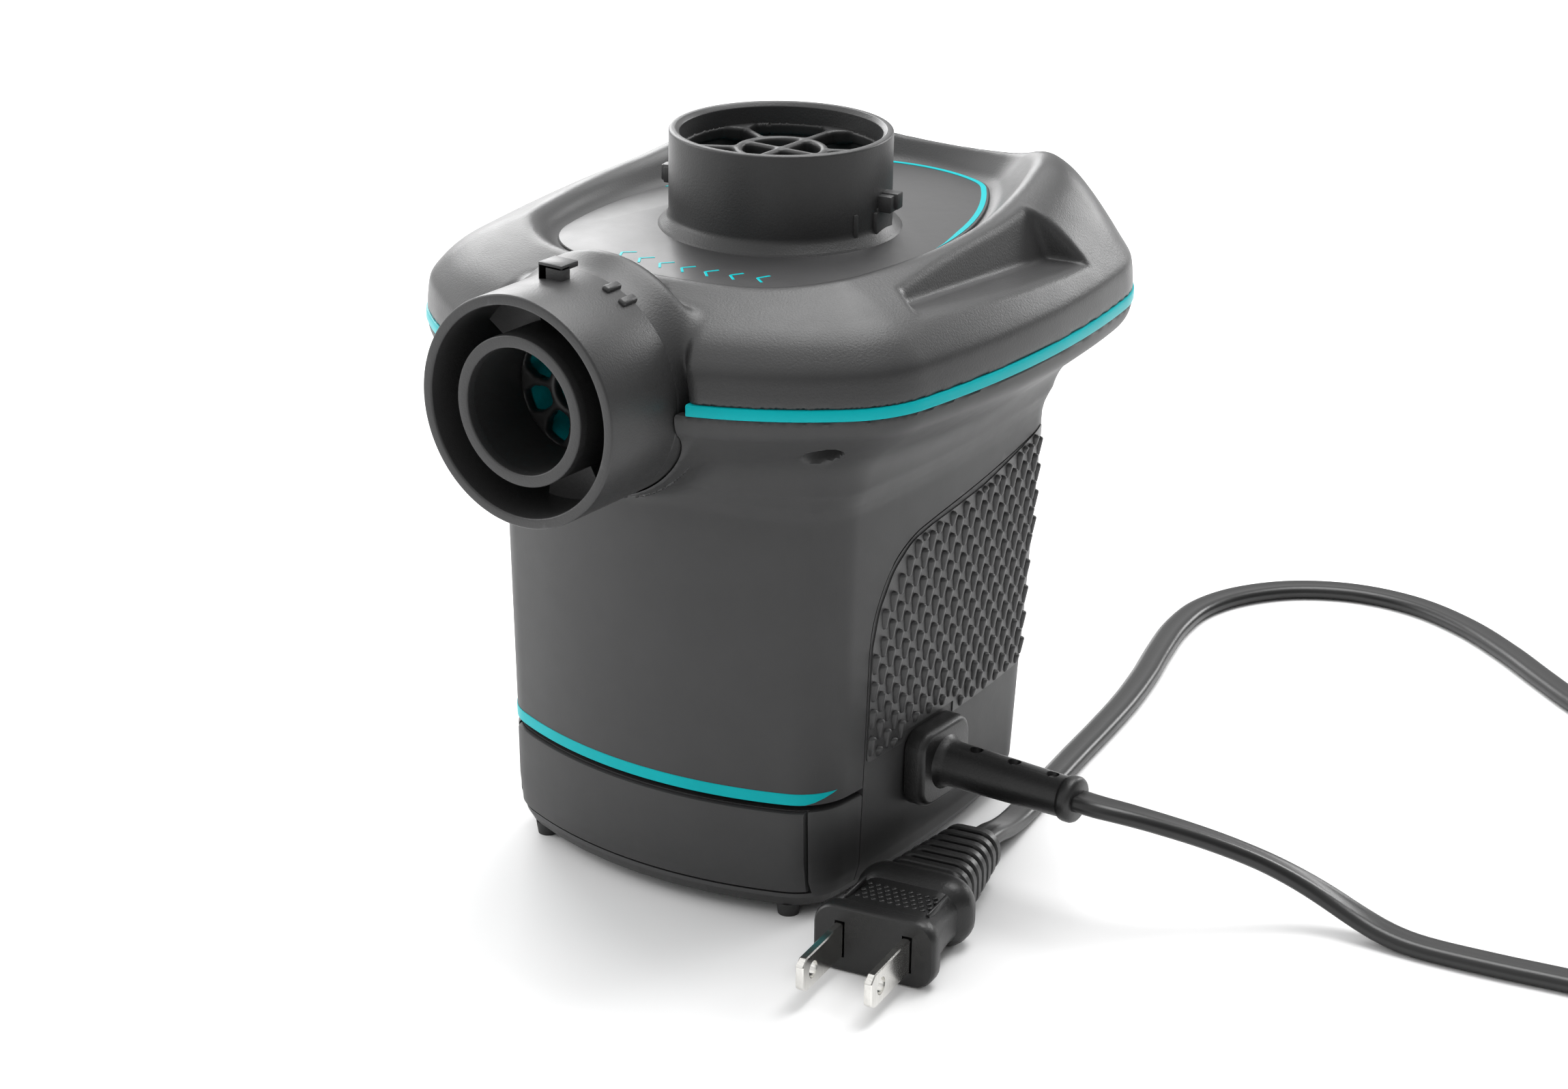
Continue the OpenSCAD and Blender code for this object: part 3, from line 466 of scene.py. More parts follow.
def surface(fn, lo, hi, h):
    """The surface where fn is zero, as quads with their corners moved onto it."""
    n = [int(math.ceil((b - a) / h)) + 1 for a, b in zip(lo, hi)]
    ax = [lo[i] + h * np.arange(n[i]) for i in range(3)]
    X, Y = np.meshgrid(ax[0], ax[1], indexing="ij")
    F = np.stack([fn(X, Y, np.full_like(X, z)) for z in ax[2]], 2)
    inside = F < 0
    keys, pts, quads = [], [], []
    for d in range(3):
        a, b = [slice(None)] * 3, [slice(None)] * 3
        a[d], b[d] = slice(0, -1), slice(1, None)
        idx = np.argwhere(inside[tuple(a)] != inside[tuple(b)])
        j = idx.copy()
        j[:, d] += 1
        f0, f1 = F[tuple(idx.T)], F[tuple(j.T)]
        p = idx.astype(float)
        p[:, d] += f0 / (f0 - f1)
        four = []
        for du, dv in ((0, 0), (-1, 0), (-1, -1), (0, -1)):
            c = idx.copy()
            c[:, (d + 1) % 3] += du
            c[:, (d + 2) % 3] += dv
            k = np.ravel_multi_index(tuple(c.T), n)
            four.append(k)
            keys.append(k)
            pts.append(p)
        quads.append(np.stack(four, 1))
    keys, pts = np.concatenate(keys), np.concatenate(pts)
    ids, inv = np.unique(keys, return_inverse=True)
    inv = inv.ravel()
    cnt = np.bincount(inv)
    v = np.stack([np.bincount(inv, weights=pts[:, i]) / cnt for i in range(3)], 1) * h + np.array(lo)
    f = np.searchsorted(ids, np.concatenate(quads))
    nudge = 0.05
    for _ in range(3):
        slopes = [fn(*(v + d).T) - fn(*(v - d).T) for d in np.eye(3) * nudge]
        g = np.stack(slopes, 1) / (2 * nudge)
        s = -fn(*v.T) / np.maximum((g * g).sum(1), 0.25)
        v = v + np.clip(s, -0.4 * h, 0.4 * h)[:, None] * g
    return v, f

def place(part):
    """A part of the fan-axis frame in the row frame."""
    v, f = part
    v = np.array(v, float)
    v[:, 1] += AY
    return v, f

def clipped(name, part, mat, keep=None, cuts=(), angle=35):
    """A piece cut down to what it shares with keep, less the cuts, then moved into the row frame."""
    o = make(name, *part, mat, body=None)
    if keep:
        cut(o, keep, "INTERSECT")
    for c in cuts:
        cut(o, c)
    o.data.transform(Matrix.Translation((0, AY * MM, 0)))
    sharp(o, angle)
    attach(o, "pump")
    return o

# ---------------------------------------------------------------- lid
def plane(a, b, c, inside):
    """Distance to the plane through three points, positive on the side of the point inside."""
    a, b, c, q = (np.array(t, float) for t in (a, b, c, inside))
    n = np.cross(b - a, c - a)
    n /= np.linalg.norm(n)
    n *= math.copysign(1, float((q - a) @ n))
    return lambda x, y, z: n[0] * (x - a[0]) + n[1] * (y - a[1]) + n[2] * (z - a[2])

# the lid's section: depth inside its outline, and height
SECTION = catmull([(0, 60), (0, 90), (0, 101.7), (0.15, 104.6), (0.42, 106.6), (0.85, 107.7), (2.2, 109.5),
                   (4.6, 112.2), (7.6, 114.8), (11.5, 117.4), (16, 119.3), (21, 120.3), (40, 121)], 0.8)
CELL = 0.08                  # the table's step
I_LO, I_HI, Z_LO, Z_HI = -14.0, 40, 74.0, 134

def section_table():
    """Distance to the section on a fine grid, negative inside."""
    i, z = np.meshgrid(np.arange(I_LO, I_HI, CELL), np.arange(Z_LO, Z_HI, CELL), indexing="ij")
    d = np.full(i.shape, 1e9)
    for (ai, az), (bi, bz) in zip(SECTION[:-1], SECTION[1:]):
        t = np.clip(((i - ai) * (bi - ai) + (z - az) * (bz - az)) / ((bi - ai) ** 2 + (bz - az) ** 2), 0, 1)
        d = np.minimum(d, np.hypot(i - ai - t * (bi - ai), z - az - t * (bz - az)))
    inside = (i > 0) & (z < np.interp(i, SECTION[:, 0], SECTION[:, 1]))
    return np.where(inside, -d, d)

TABLE = section_table()

def section(i, z):
    """The table read between its points."""
    a = np.clip((i - I_LO) / CELL, 0, TABLE.shape[0] - 1.001)
    b = np.clip((z - Z_LO) / CELL, 0, TABLE.shape[1] - 1.001)
    m, n = a.astype(int), b.astype(int)
    a, b = a - m, b - n
    return ((TABLE[m, n] * (1 - a) + TABLE[m + 1, n] * a) * (1 - b)
            + (TABLE[m, n + 1] * (1 - a) + TABLE[m + 1, n + 1] * a) * b)

# the pocket in the right rim: an inner wall, a floor, and a back wall, all running out at the front
PK_IN = plane((40.4, -22.5, 116.9), (39.4, 20.4, 119.2), (42.6, 21.8, 111.4), (52, 0, 118))
PK_FLOOR = plane((44.3, -24.0, 113.6), (42.6, 21.8, 111.4), (48.8, 24.4, 110.9), (48, 0, 125))
PK_BACK = plane((39.4, 20.7, 119.3), (48.8, 24.6, 111.2), (42.6, 21.9, 111.4), (48, 0, 118))
PK_FRONT = plane((40.4, -23, 116.9), (47.2, -25.8, 112.5), (44.5, -23.4, 110), (47, 0, 118))

TILT = 0.058                 # the lid's top rises to the back
BACK_RISE = 3.8              # and its back rim rises by this much more
SLEEVE_FRONT, SLEEVE_BACK = -58, -49.6
CAVITY_R = 21.7              # the lid's opening for the port

def sleeve_r(y, z):
    """The lid's sleeve round the port flares towards the lid, on its upper side."""
    return 19.97 + 2.4 * step((y - SLEEVE_FRONT) / 9.5) * step((z - OZ + 6) / 14)

def lid_solid(x, y, z):
    i = -sd_plan(x, y, LID)
    rise = TILT * y + BACK_RISE * step((y - 8) / 42)
    f = section(i, z - rise * step(i / 15))
    dish = smax((sd_plan(x, y, LABEL) - 1.2 - 0.8 * (z - DISH_Z)) / 1.28, DISH_Z - z, 1.6)
    f = smax(f, -dish, 2.6)
    across = smax(-PK_IN(x, y, z), -PK_FLOOR(x, y, z), 0.9)
    along = smax(-PK_BACK(x, y, z), -PK_FRONT(x, y, z), 0.6)
    f = smax(f, -smax(across, along, 0.8), 1.0)
    r = np.hypot(x, z - OZ)
    f = smax(f, -smax(r - CAVITY_R, y + 49.9, 2), 3)
    sleeve = smax(smax(r - sleeve_r(y, z), y - SLEEVE_BACK, 2.2), SLEEVE_FRONT - y, 0.3)
    return smin(f, sleeve, 2.2)

def lid_shape(x, y, z):
    """The lid's wall: open below, round the outlet's bore, and under the intake's collar."""
    f = lid_solid(x, y, z)
    r = np.hypot(x, z - OZ)
    f = np.maximum(f, -(f + WALL))
    f = np.maximum(f, np.minimum(LID_Z - z, np.maximum(r - 21.6, y + 49.9)))
    f = np.maximum(f, -np.maximum(r - PORT_BORE, y + 46))
    return np.maximum(f, 20.4 - np.hypot(x, y))

lid = make("lid", *place(surface(lid_shape, (-56.2, -64, 78.4), (56.2, 66, 129.4), 0.62)), "lid")
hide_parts("lid_shell")

# ---------------------------------------------------------------- front body shell
FLANGE_SLOPE = 0.84
BORE_X, BORE_Y, BORE_Z = 38, -42.2, 90.2                 # the front screws' recesses, which lean back
BACK_X, BACK_Y = 36, 43                                  # the back screws' recesses

def body_solid(x, y, z):
    o = np.interp(z, [0, 77, 79, 82, 91, 100], [0, 0, 0.4, 1.6, 2.2, 2.2])
    neck = sd_plan(x, y, body_plan(z)) - o
    rim = sd_plan(x, y, LID)
    flange = smax(rim, (96.9 + FLANGE_SLOPE * np.maximum(rim, -14) - z) / 1.31, 2.2)
    f = smin(neck, flange, 3.6)
    r = np.hypot(x, z - OZ)
    sleeve = smax(r - 20.6 - 0.9 * step((y + 54) / 5), -53.5 - y, 0.3)
    f = smin(f, smax(sleeve, y + 30, 2), 3.2)
    lean = (y - BORE_Y - 0.8 * (z - BORE_Z)) * 0.78
    bore = smax(np.hypot((np.abs(x) - BORE_X) / 1.3, lean) - 2.45, z - 94.2, 0.4)
    back_bore = smax(np.hypot(np.abs(x) - BACK_X, y - BACK_Y) - 2.9, z - 93.9, 0.4)
    return smax(f, -np.minimum(bore, back_bore), 0.35)

def body_shape(x, y, z):
    f = body_solid(x, y, z)
    f = np.maximum(f, -(f + WALL))
    return np.maximum(f, np.maximum(z - SEAM_Z + 0.05, 21.5 - z))

# the upright seam between the front and rear shells, as (y, z) from the bottom up
SEAM_Y = -24
SEAM = catmull([(SEAM_Y, 21), (SEAM_Y, 38), (SEAM_Y, 50), (-22.6, 57), (-18.6, 63.8), (-13, 67.6), (-6, 69.3),
                (12, 71.6), (36, 74.4), (62, 77.4)], 1.2)
GAP = 0.25
behind = [(-80, -9), (-80, 23.3), (SEAM_Y - GAP, 23.3)]
behind += [(y - GAP, z + (GAP if y > -18 else 0)) for y, z in SEAM if z > 23.4] + [(62, -9)]

def port_hole(r, a, b):
    """A round cutter on the outlet's axis, from y = a to y = b."""
    return prism(r * circle(160) + (0, OZ), 1, a, b)

front = clipped("front_shell", surface(body_shape, (-56.2, -63.4, 19.6), (56.2, 66, 100.8), 0.66), "body",
                cuts=[prism(behind, 0, -75, 75), port_hole(PORT_R + 0.3, -80, -38)], angle=40)
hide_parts("body_shell")

# ---------------------------------------------------------------- seam band
def band_rings(p, z0, z1, proud, deep, r=0.35):
    rows = [(proud - r, z0), (proud - 0.3 * r, z0 + 0.3 * r), (proud, z0 + r), (proud, z1 - r),
            (proud - 0.3 * r, z1 - 0.3 * r), (proud - r, z1), (-deep, z1), (-deep, z0)]
    return [plan_ring(grown(p, o), z) for o, z in rows]

band = clipped("seam_band_smooth", ring_part(band_rings(LID, SEAM_Z, LID_Z, 0.3, 2)), "accent",
               cuts=[port_hole(PORT_R + 2.3, -80, -45)])
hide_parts("seam_band")

# ---------------------------------------------------------------- lid screws
screw = rounded([(0.01, 93.3), (0.9, 93.3), (1.0, 93.9), (1.3, 93.9), (1.5, 93.2), (2.3, 93.2), (2.4, 94.3),
                 (1.45, 94.4), (1.45, 106), (0.01, 106)], [0, 0.1, 0.1, 0.1, 0.1, 0.3, 0.1, 0.1, 0, 0])
screws = [lathe(screw, 40, "z", (side * sx, sy, lift)) for side in (1, -1)
          for sx, sy, lift in ((BORE_X, BORE_Y + 1, 1.6), (BACK_X, BACK_Y, 0))]
lid_screws = make("lid_screws", *place(joined(screws)), "dark_steel")
sharp(lid_screws, 35)
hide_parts("housing_screws")

# ---------------------------------------------------------------- label
film = solid_part([plan_ring(grown(LABEL, o), DISH_Z + h)
                   for o, h in ((0, -0.2), (0, 0.35), (-0.12, 0.5), (-0.4, 0.55))])
label = clipped("label_film", film, "label",
                cuts=[lathe([(0.01, 112), (21.9, 112), (21.9, 118), (0.01, 118)])])
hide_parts("label_plate")

def flat_strip(outer, inner, z0, z1):
    """A thin raised line between two rows of points, which may meet at its ends."""
    m = len(outer)
    v = [(*p, z) for z in (z0, z1) for p in outer] + [(*p, z) for z in (z0, z1) for p in inner]
    f = []
    for i in range(m - 1):
        a, b, c, d = i, m + i, 2 * m + i, 3 * m + i
        f += [(b, b + 1, d + 1, d), (a, a + 1, b + 1, b), (c, c + 1, d + 1, d), (a, a + 1, c + 1, c)]
    f += [(0, m, 3 * m, 2 * m), (m - 1, 2 * m - 1, 4 * m - 1, 3 * m - 1)]
    return v, f

line_out, line_in = (plan_ring(grown(LABEL, o))[:, :2] for o in (-0.5, -1.5))
pick = [k for k, q in enumerate(line_out) if q[1] > 4 or (q[1] > 2 and q[0] > 0)]
width = [float(step((line_out[k][1] - 2) / 14)) for k in pick]      # the line runs out to nothing at its ends
inner = [line_out[k] + (line_in[k] - line_out[k]) * e for k, e in zip(pick, width)]
outer = [line_out[k] for k in pick]
line = make("label_line", *place(flat_strip(outer, inner, DISH_Z + 0.3, DISH_Z + 0.62)), "accent")
marks = []
for k in range(7):                                   # small arrows that show which way the air goes
    x = -11 + 4.6 * k
    y = -33.4 + 0.011 * x ** 2
    for side in (-1, 1):
        turn = Matrix.Rotation(math.radians(0.9 * x + side * 52), 4, "Z")
        m = Matrix.Translation((x, y, DISH_Z + 0.5)) @ turn
        marks.append(box_part((0, -0.24, -0.2), (2.6, 0.24, 0.12), 0.05, 1, m))
arrows = make("label_arrows", *place(joined(marks)), "accent")
for o in (line, arrows):
    sharp(o, 35)
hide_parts("label_trim")

# ---------------------------------------------------------------- intake port
collar = lathe(rounded([(PORT_BORE, 113.4), (PORT_BORE, 132.3), (18.8, 133), (PORT_R, 133), (PORT_R, 117.6),
                        (21.6, 115.9), (22, 115.4), (22, 115.2), (20.4, 113.4)],
                       [0, 0.3, 0.3, 0.45, 1.6, 0.3, 0.1, 0.1, 0]), 160)
parts = [collar]
for a in (10, 190):                                  # lugs
    m = Matrix.Rotation(math.radians(a), 4, "Z")
    parts.append(box_part((19.2, -2.2, 120.6), (22.4, 2.2, 123.6), 0.3, 2, m))
    parts.append(box_part((19.2, -0.6, 120.9), (23.0, 1.9, 123.9), 0.35, 2, m))
    parts.append(box_part((19.2, -3.6, 115.0), (20.35, 3.6, 120.8), 0.25, 2, m))
for a in (-14, 4, 176, 194):                         # low ribs beside them
    m = Matrix.Rotation(math.radians(a), 4, "Z")
    parts.append(box_part((19.3, -0.5, 115), (20.3, 0.5, 121.4), 0.2, 2, m))
port = make("intake_collar", *place(joined(parts)), "lid")
sharp(port, 32)
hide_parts("intake_port")

def web_grille(r_out, spokes, r_ring, ring_w, spoke_w, cross, thick, fillet, tab=2.4):
    """A flat grille as a field: a ring with a cross in it, and spokes that widen out to a rim."""
    def fn(x, y, z):
        r, a = np.hypot(x, y), np.arctan2(y, x)
        f = np.abs(r - r_ring) - ring_w / 2
        for k in range(cross):
            t = math.pi * k / cross
            bar = np.abs(x * math.sin(t) - y * math.cos(t)) - spoke_w / 2
            f = smin(f, np.maximum(bar, r - r_ring), fillet)
        w = 2 * math.pi / spokes
        b = (a - math.pi / 2 + w / 2) % w - w / 2
        off, out = r * np.sin(b), r * np.cos(b)
        arm = np.maximum(np.abs(off) - spoke_w / 2, r_ring - out)
        f = smin(f, arm, fillet)
        widened = spoke_w / 2 + tab * step((out - (r_out - 3.6)) / 3)
        f = smin(f, np.maximum(np.abs(off) - widened, r_out - 3.8 - out), fillet * 0.6)
        f = smin(f, r_out - 0.5 - r, fillet * 0.8)
        f = np.maximum(f, r - r_out)
        return smax(f, np.abs(z) - thick / 2, 0.7)
    return fn

GRILLE_Z, GRILLE_Y = 128.1, -59.4
web = web_grille(18.3, spokes=6, r_ring=7.7, ring_w=1.5, spoke_w=1.35, cross=2, thick=2.6, fillet=1.1)
grille = make("intake_grille_web", *surface(web, (-19, -19, -1.9), (19, 19, 1.9), 0.34), "inner", body=None)
grille.data.transform(Matrix.Translation((0, AY * MM, GRILLE_Z * MM)))
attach(grille, "pump")
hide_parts("intake_grille")

# ---------------------------------------------------------------- outlet port
PORT_FRONT, PORT_BACK, DUCT_FRONT = -75, -56.4, -74.4
tube = lathe(rounded([(PORT_R, PORT_FRONT), (PORT_R, PORT_BACK), (PORT_BORE, PORT_BACK), (PORT_BORE, PORT_FRONT)],
                     [0.4, 0.05, 0.05, 0.4]), 192, "y", (0, 0, OZ))
back = lathe([(13, -50.4), (18.9, -50.4), (18.9, -49.2), (13, -49.2)], 96, "y", (0, 0, OZ))
parts = [tube, back]
for mid, half in ((126, 19), (-79, 19)):             # webs between the port and the duct in it
    pts = [(r * math.cos(math.radians(a)), OZ + r * math.sin(math.radians(a)))
           for r, sweep in ((18.4, range(-6, 7)), (12.8, range(6, -7, -1)))
           for a in [mid + half * k / 6 for k in sweep]]
    parts.append(prism(pts, 1, -63.5, -50))
m = Matrix.Translation((0, 0, OZ))                   # the hooked lug on top
parts.append(box_part((-3.9, -64, 18.9), (1.1, -61.6, 22.4), 0.3, 2, m))
parts.append(box_part((-3.9, -64, 18.9), (-1.9, -59, 22.4), 0.3, 2, m))
parts.append(box_part((-3.9, -64, 21.5), (1.1, -59.4, 22.6), 0.3, 2, m))
for a in (21, 31.5):                                 # two detents beside it
    r = Matrix.Translation((0, 0, OZ)) @ Matrix.Rotation(math.radians(a), 4, "Y")
    parts.append(box_part((-0.8, -60.4, 19.2), (0.8, -56.6, 20.75), 0.5, 3, r))
outlet = make("outlet_tube", *place(joined(parts)), "lid")
sharp(outlet, 32)
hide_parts("outlet_port")

duct = lathe(rounded([(12.97, DUCT_FRONT), (12.97, -72.4), (10.83, -72.4), (10.83, DUCT_FRONT)],
                     [0.35, 0.1, 0.1, 0.35]), 160, "y", (0, 0, OZ))
mouth = make("duct_mouth", *place(duct), "lid")
sharp(mouth, 32)
web = web_grille(10.95, spokes=8, r_ring=4.2, ring_w=1.3, spoke_w=1.25, cross=0, thick=2.2, fillet=1.2,
                 tab=1.5)
deep = make("outlet_grille_web", *surface(web, (-11.6, -11.6, -1.9), (11.6, 11.6, 1.9), 0.34), "inner",
            body=None)
upright = Matrix.Rotation(math.radians(90), 4, "X")
deep.data.transform(Matrix.Translation((0, (AY + GRILLE_Y) * MM, OZ * MM)) @ upright)
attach(deep, "pump")
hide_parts("outlet_grille")

# ---------------------------------------------------------------- rear shell
def wall_rings(rows):
    """Rings of the body's wall at rows of (offset, z); the wall draws in round its bottom edge."""
    foot = lambda z: float(np.interp(z, [2.5, 4.5, 8], [-2, -0.9, 0]))
    return ring_part([plan_ring(grown(body_plan(z), foot(z) + o), z) for o, z in rows])

def skin(levels, outer, inner):
    """Part of the body's wall, from outer to inner offsets, through the levels."""
    return wall_rings([(outer, z) for z in levels] + [(inner, z) for z in reversed(levels)])

SWITCH = Matrix.Translation((0, 46.72, 62)) @ Matrix.Rotation(-math.atan(BACK_DRAFT), 4, "X")
CORD_Y, CORD_Z = -4.0, 22.3
side = [(SEAM_Y, -6)] + [tuple(q) for q in SEAM] + [(62, -6)]
levels = [4.5, 5.2, 6, 7, 8] + list(np.linspace(10, 80, 29))
openings = joined([box_part((-7.1, -8, -10.1), (7.1, 12, 10.1), 0, 1, SWITCH),
                   box_part((30, CORD_Y - 6.1, CORD_Z - 5.6), (42, CORD_Y + 6.1, CORD_Z + 5.6), 0)])
rear = clipped("rear_housing", skin(levels, 0, -WALL), "body", prism(side, 0, -75, 75), [openings])
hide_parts("rear_shell")

# ---------------------------------------------------------------- base, panel and strip
GROOVE_Z = 22.0
PANEL_X, PANEL_Z = 32.2, 5.8
front_half = box_part((-75, -80, -5), (75, SEAM_Y - GAP, 60), 0)
base_wall = wall_rings([(0, 4.5), (0, 5.6), (0, 6.8), (0, 8), (0, 12), (0, 17), (0, 21.5), (-0.12, 21.85),
                        (-0.5, GROOVE_Z), (-2.4, GROOVE_Z), (-2.4, 8), (-2.4, 4.5)])
base = clipped("base_housing", base_wall, "body", front_half)
recess = make("cut", *wall_rings([(3, PANEL_Z - 0.4), (3, 24), (-0.7, 24), (-0.7, PANEL_Z - 0.4)]), "body",
              body=None)
cut(recess, box_part((-PANEL_X - 0.45, -80, 0), (PANEL_X + 0.45, SEAM_Y, 60), 0), "INTERSECT")
recess.data.transform(Matrix.Translation((0, AY * MM, 0)))
boolean(base, recess)
sharp(base, 35)
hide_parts("base_front")
lip = clipped("base_lip", wall_rings([(-2.5, 17), (-2.5, 25.5), (-3.4, 26), (-3.4, 17)]), "body", front_half)
plate = wall_rings([(-0.1, PANEL_Z), (0.14, PANEL_Z + 0.08), (0.25, PANEL_Z + 0.35), (0.25, 12), (0.25, 17),
                    (0.25, 21.2), (0.1, 21.6), (-0.3, 21.8), (-0.6, 21.8), (-0.6, PANEL_Z)])
panel = clipped("badge", plate, "body", box_part((-PANEL_X, -80, 0), (PANEL_X, SEAM_Y, 60), 0))
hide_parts("badge_panel")

# the strip runs out to a point near the seam
tip = [(-60, 23.3), (31.2, 23.3), (32.4, 23.4), (33.6, 23.8), (34.7, 24.5), (35.4, 25.1), (35.7, 25.5),
       (-60, 25.5)]
stripe = wall_rings([(-1.2, 23.2), (-0.1, 23.2), (0.14, 23.4), (0.14, 25.4), (0, 25.6), (-1.2, 25.6)])
strip = clipped("strip", stripe, "accent", prism(tip, 1, -70, -24.6))
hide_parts("accent_strip")

# ---------------------------------------------------------------- grips
def side_x(y, z):
    """Where the body's right wall is at y and z."""
    p = body_plan(z)
    x = p[0] - p[2] + math.sqrt(p[2] ** 2 - (y - p[1]) ** 2)
    for _ in range(6 if y > 24 else 0):
        x -= float(sd_plan(np.array(x), np.array(y), p))
    return x

# the grip's outline as (y, z), and the notch in the right one for the cord's block: from y, to y, up to z
GRIP = rounded([(-23.6, 28), (-23.5, 50), (-22, 56.8), (-18.2, 63.3), (-12.8, 67.3), (-6, 68.6), (12, 70.5),
                (37.5, 75.0), (33.5, 28)], [1, 9, 9, 9, 9, 9, 9, 1.6, 2.5], 5)
NOTCH = (CORD_Y - 8.6, CORD_Y + 8.6, CORD_Z + 7.9)

RIBS, RIB_GAP = 27, 2.3      # columns of ribs, and the distance between them
RIB_LENGTH, RIB_ROW = 4.3, 5.3

def within(poly, y, z):
    odd = False
    for (ay, az), (by, bz) in zip(poly, list(poly[1:]) + [poly[0]]):
        if (az > z) != (bz > z) and y < ay + (z - az) / (bz - az) * (by - ay):
            odd = not odd
    return odd

def ridge(y, lo, hi):
    """One rib of the grip: round and high at its upper end, running out downwards."""
    out, n = [], 5
    top, low = 0.72, 0.5
    for shrink, lift in ((1.12, -0.35), (1.0, 0.22), (0.86, 0.72), (0.55, 0.98), (0.2, 1.06)):
        ring = []
        for k in range(n * 2):
            if k < n:
                a, c, r = math.pi * k / (n - 1), hi - top, top
            else:
                a, c, r = math.pi + math.pi * (k - n) / (n - 1), lo + low, low
            z = c + r * shrink * math.sin(a)
            t = (z - lo) / (hi - lo)
            yy = y + r * shrink * math.cos(a) + 0.18 * lift
            ring.append((side_x(yy, z) + 0.2 + lift * (0.3 + 0.62 * t), yy, z))
        out.append(ring)
    return solid_part(out)

def grip_ridges(notched):
    parts = []
    for j in range(RIBS):
        y = -22.7 + RIB_GAP * j
        for i in range(-1, 10):
            c = 31 + RIB_ROW * i + (RIB_ROW / 2 if j % 2 else 0)
            zs = [c + t for t in np.arange(-RIB_LENGTH / 2, RIB_LENGTH / 2 + 0.01, 0.1)
                  if within(GRIP, y - 0.7, c + t) and within(GRIP, y + 0.7, c + t)
                  and not (notched and NOTCH[0] - 0.5 < y < NOTCH[1] + 0.5 and c + t < NOTCH[2] + 0.4)]
            if len(zs) > 16:
                parts.append(ridge(y, zs[0] + 0.15, zs[-1] - 0.15))
    return joined(parts)

pad = skin(list(np.linspace(26, 76, 21)), 0.22, -0.6)
notch = box_part((30, NOTCH[0], 5), (60, NOTCH[1], NOTCH[2]), 0)
right_pad = clipped("grip_pad_right", pad, "grip", prism(GRIP, 0, 20, 60), [notch])
right_ribs = make("grip_ribs_right", *place(grip_ridges(True)), "grip")
left_pad = clipped("grip_pad_left", pad, "grip", prism(GRIP, 0, -60, -20))
rib_points, rib_faces = grip_ridges(False)
left_ribs = make("grip_ribs_left", *place((rib_points * (-1, 1, 1), rib_faces)), "grip")
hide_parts("grip_right")
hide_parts("grip_left")

# ---------------------------------------------------------------- strain relief
def rect_ring(w, h, r, seg=6):
    return np.array(rounded([(w / 2, -h / 2), (w / 2, h / 2), (-w / 2, h / 2), (-w / 2, -h / 2)], r, seg))

def along_x(rows, cy, cz):
    """Sections of (x, ring of y and z) joined into a solid."""
    return solid_part([np.stack([np.full(len(r), x), r[:, 0] + cy, r[:, 1] + cz], 1) for x, r in rows])

block = along_x([(x, rect_ring(w, h, r)) for x, w, h, r in (
    (31.4, 15, 14, 2), (33.8, 15, 14, 2), (33.8, 12, 11, 2), (37, 12, 11, 2), (37, 15.4, 14, 3.2),
    (37.3, 16, 14.6, 3.5), (39.9, 16, 14.6, 3.5), (40.7, 15.5, 14.1, 3.3), (41.15, 14.6, 13.2, 3),
    (41.2, 14, 12.6, 2.8))], CORD_Y, CORD_Z)
relief = make("relief_block", *place(block), "plug")
sleeve = along_x([(x, r * circle(40)) for x, r in (
    (40.5, 5.6), (41.2, 5.1), (41.8, 4.55), (43, 4.2), (55, 4.0), (65.8, 3.75), (66.2, 3.8), (66.5, 4.1),
    (67, 4.25), (68.2, 4.25), (68.7, 4.0), (69, 3.5))], CORD_Y, CORD_Z)
dimple = [(0.01, -1.1), (0.9, -0.9), (1.25, 0), (1.25, 3), (0.01, 3)]
dimples = [lathe(dimple, 24, "z", (x, CORD_Y, CORD_Z + 3.9)) for x in (47.5, 55.5, 63.5)]
sleeve_o = clipped("relief_sleeve", sleeve, "plug", cuts=[joined(dimples)])
sharp(relief, 40)
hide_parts("strain_relief")

# ---------------------------------------------------------------- plug
# It has its own frame, with its face at y = 0 and the cord at the back.
BLADE_X = 6.35               # half of the distance between the blades
PLUG = Matrix.Translation((53.5, -40, 6.3)) @ Matrix.Rotation(math.radians(9), 4, "Z")

def along_y(rows):
    return solid_part([np.stack([r[:, 0], np.full(len(r), y), r[:, 1]], 1) for y, r in rows])

# its sections: y, width, height and corner radius
rows = [(0, 22.0, 11.6, 3.4), (0.25, 22.6, 12.2, 3.8), (0.8, 23, 12.6, 4), (2.7, 23, 12.6, 4),
        (3.2, 22.5, 12.2, 3.9), (3.5, 21.4, 11.5, 3.7), (5, 20.4, 11, 3.9), (9, 19, 10.5, 4),
        (13.6, 18.4, 10.2, 4), (15, 18.8, 10.4, 4),
        (15.8, 20.4, 11.6, 4.4), (16.7, 21.7, 12.5, 5), (17.8, 22.2, 12.6, 5.2), (19.2, 22.0, 12.6, 5.2),
        (20.4, 21.0, 12.0, 4.8), (21.2, 18.6, 11.2, 4.4), (22.2, 16.2, 10.6, 4.2)]
for k in range(7):                                   # stepped rings that let the cord bend
    y = 23.0 + 3.15 * k
    t = (y - 23) / 21
    w, h = 15.6 - 5.2 * t, 10.6 - 3.0 * t
    rows += [(y, w, h, 3.4), (y + 0.25, w + 0.5, h + 0.5, 3.6), (y + 1.6, w + 0.4, h + 0.4, 3.6),
             (y + 1.85, w - 0.2, h - 0.2, 3.4), (y + 1.95, w - 2.0, h - 1.9, 2.6),
             (y + 3.0, w - 2.1, h - 2.0, 2.6)]
rows += [(45.4, 8.2, 5.9, 2.4), (46.3, 7.8, 5.4, 2.3), (46.5, 7.0, 4.6, 2)]
plug_body = along_y([(a, rect_ring(b, c, d)) for a, b, c, d in rows])
studs = []
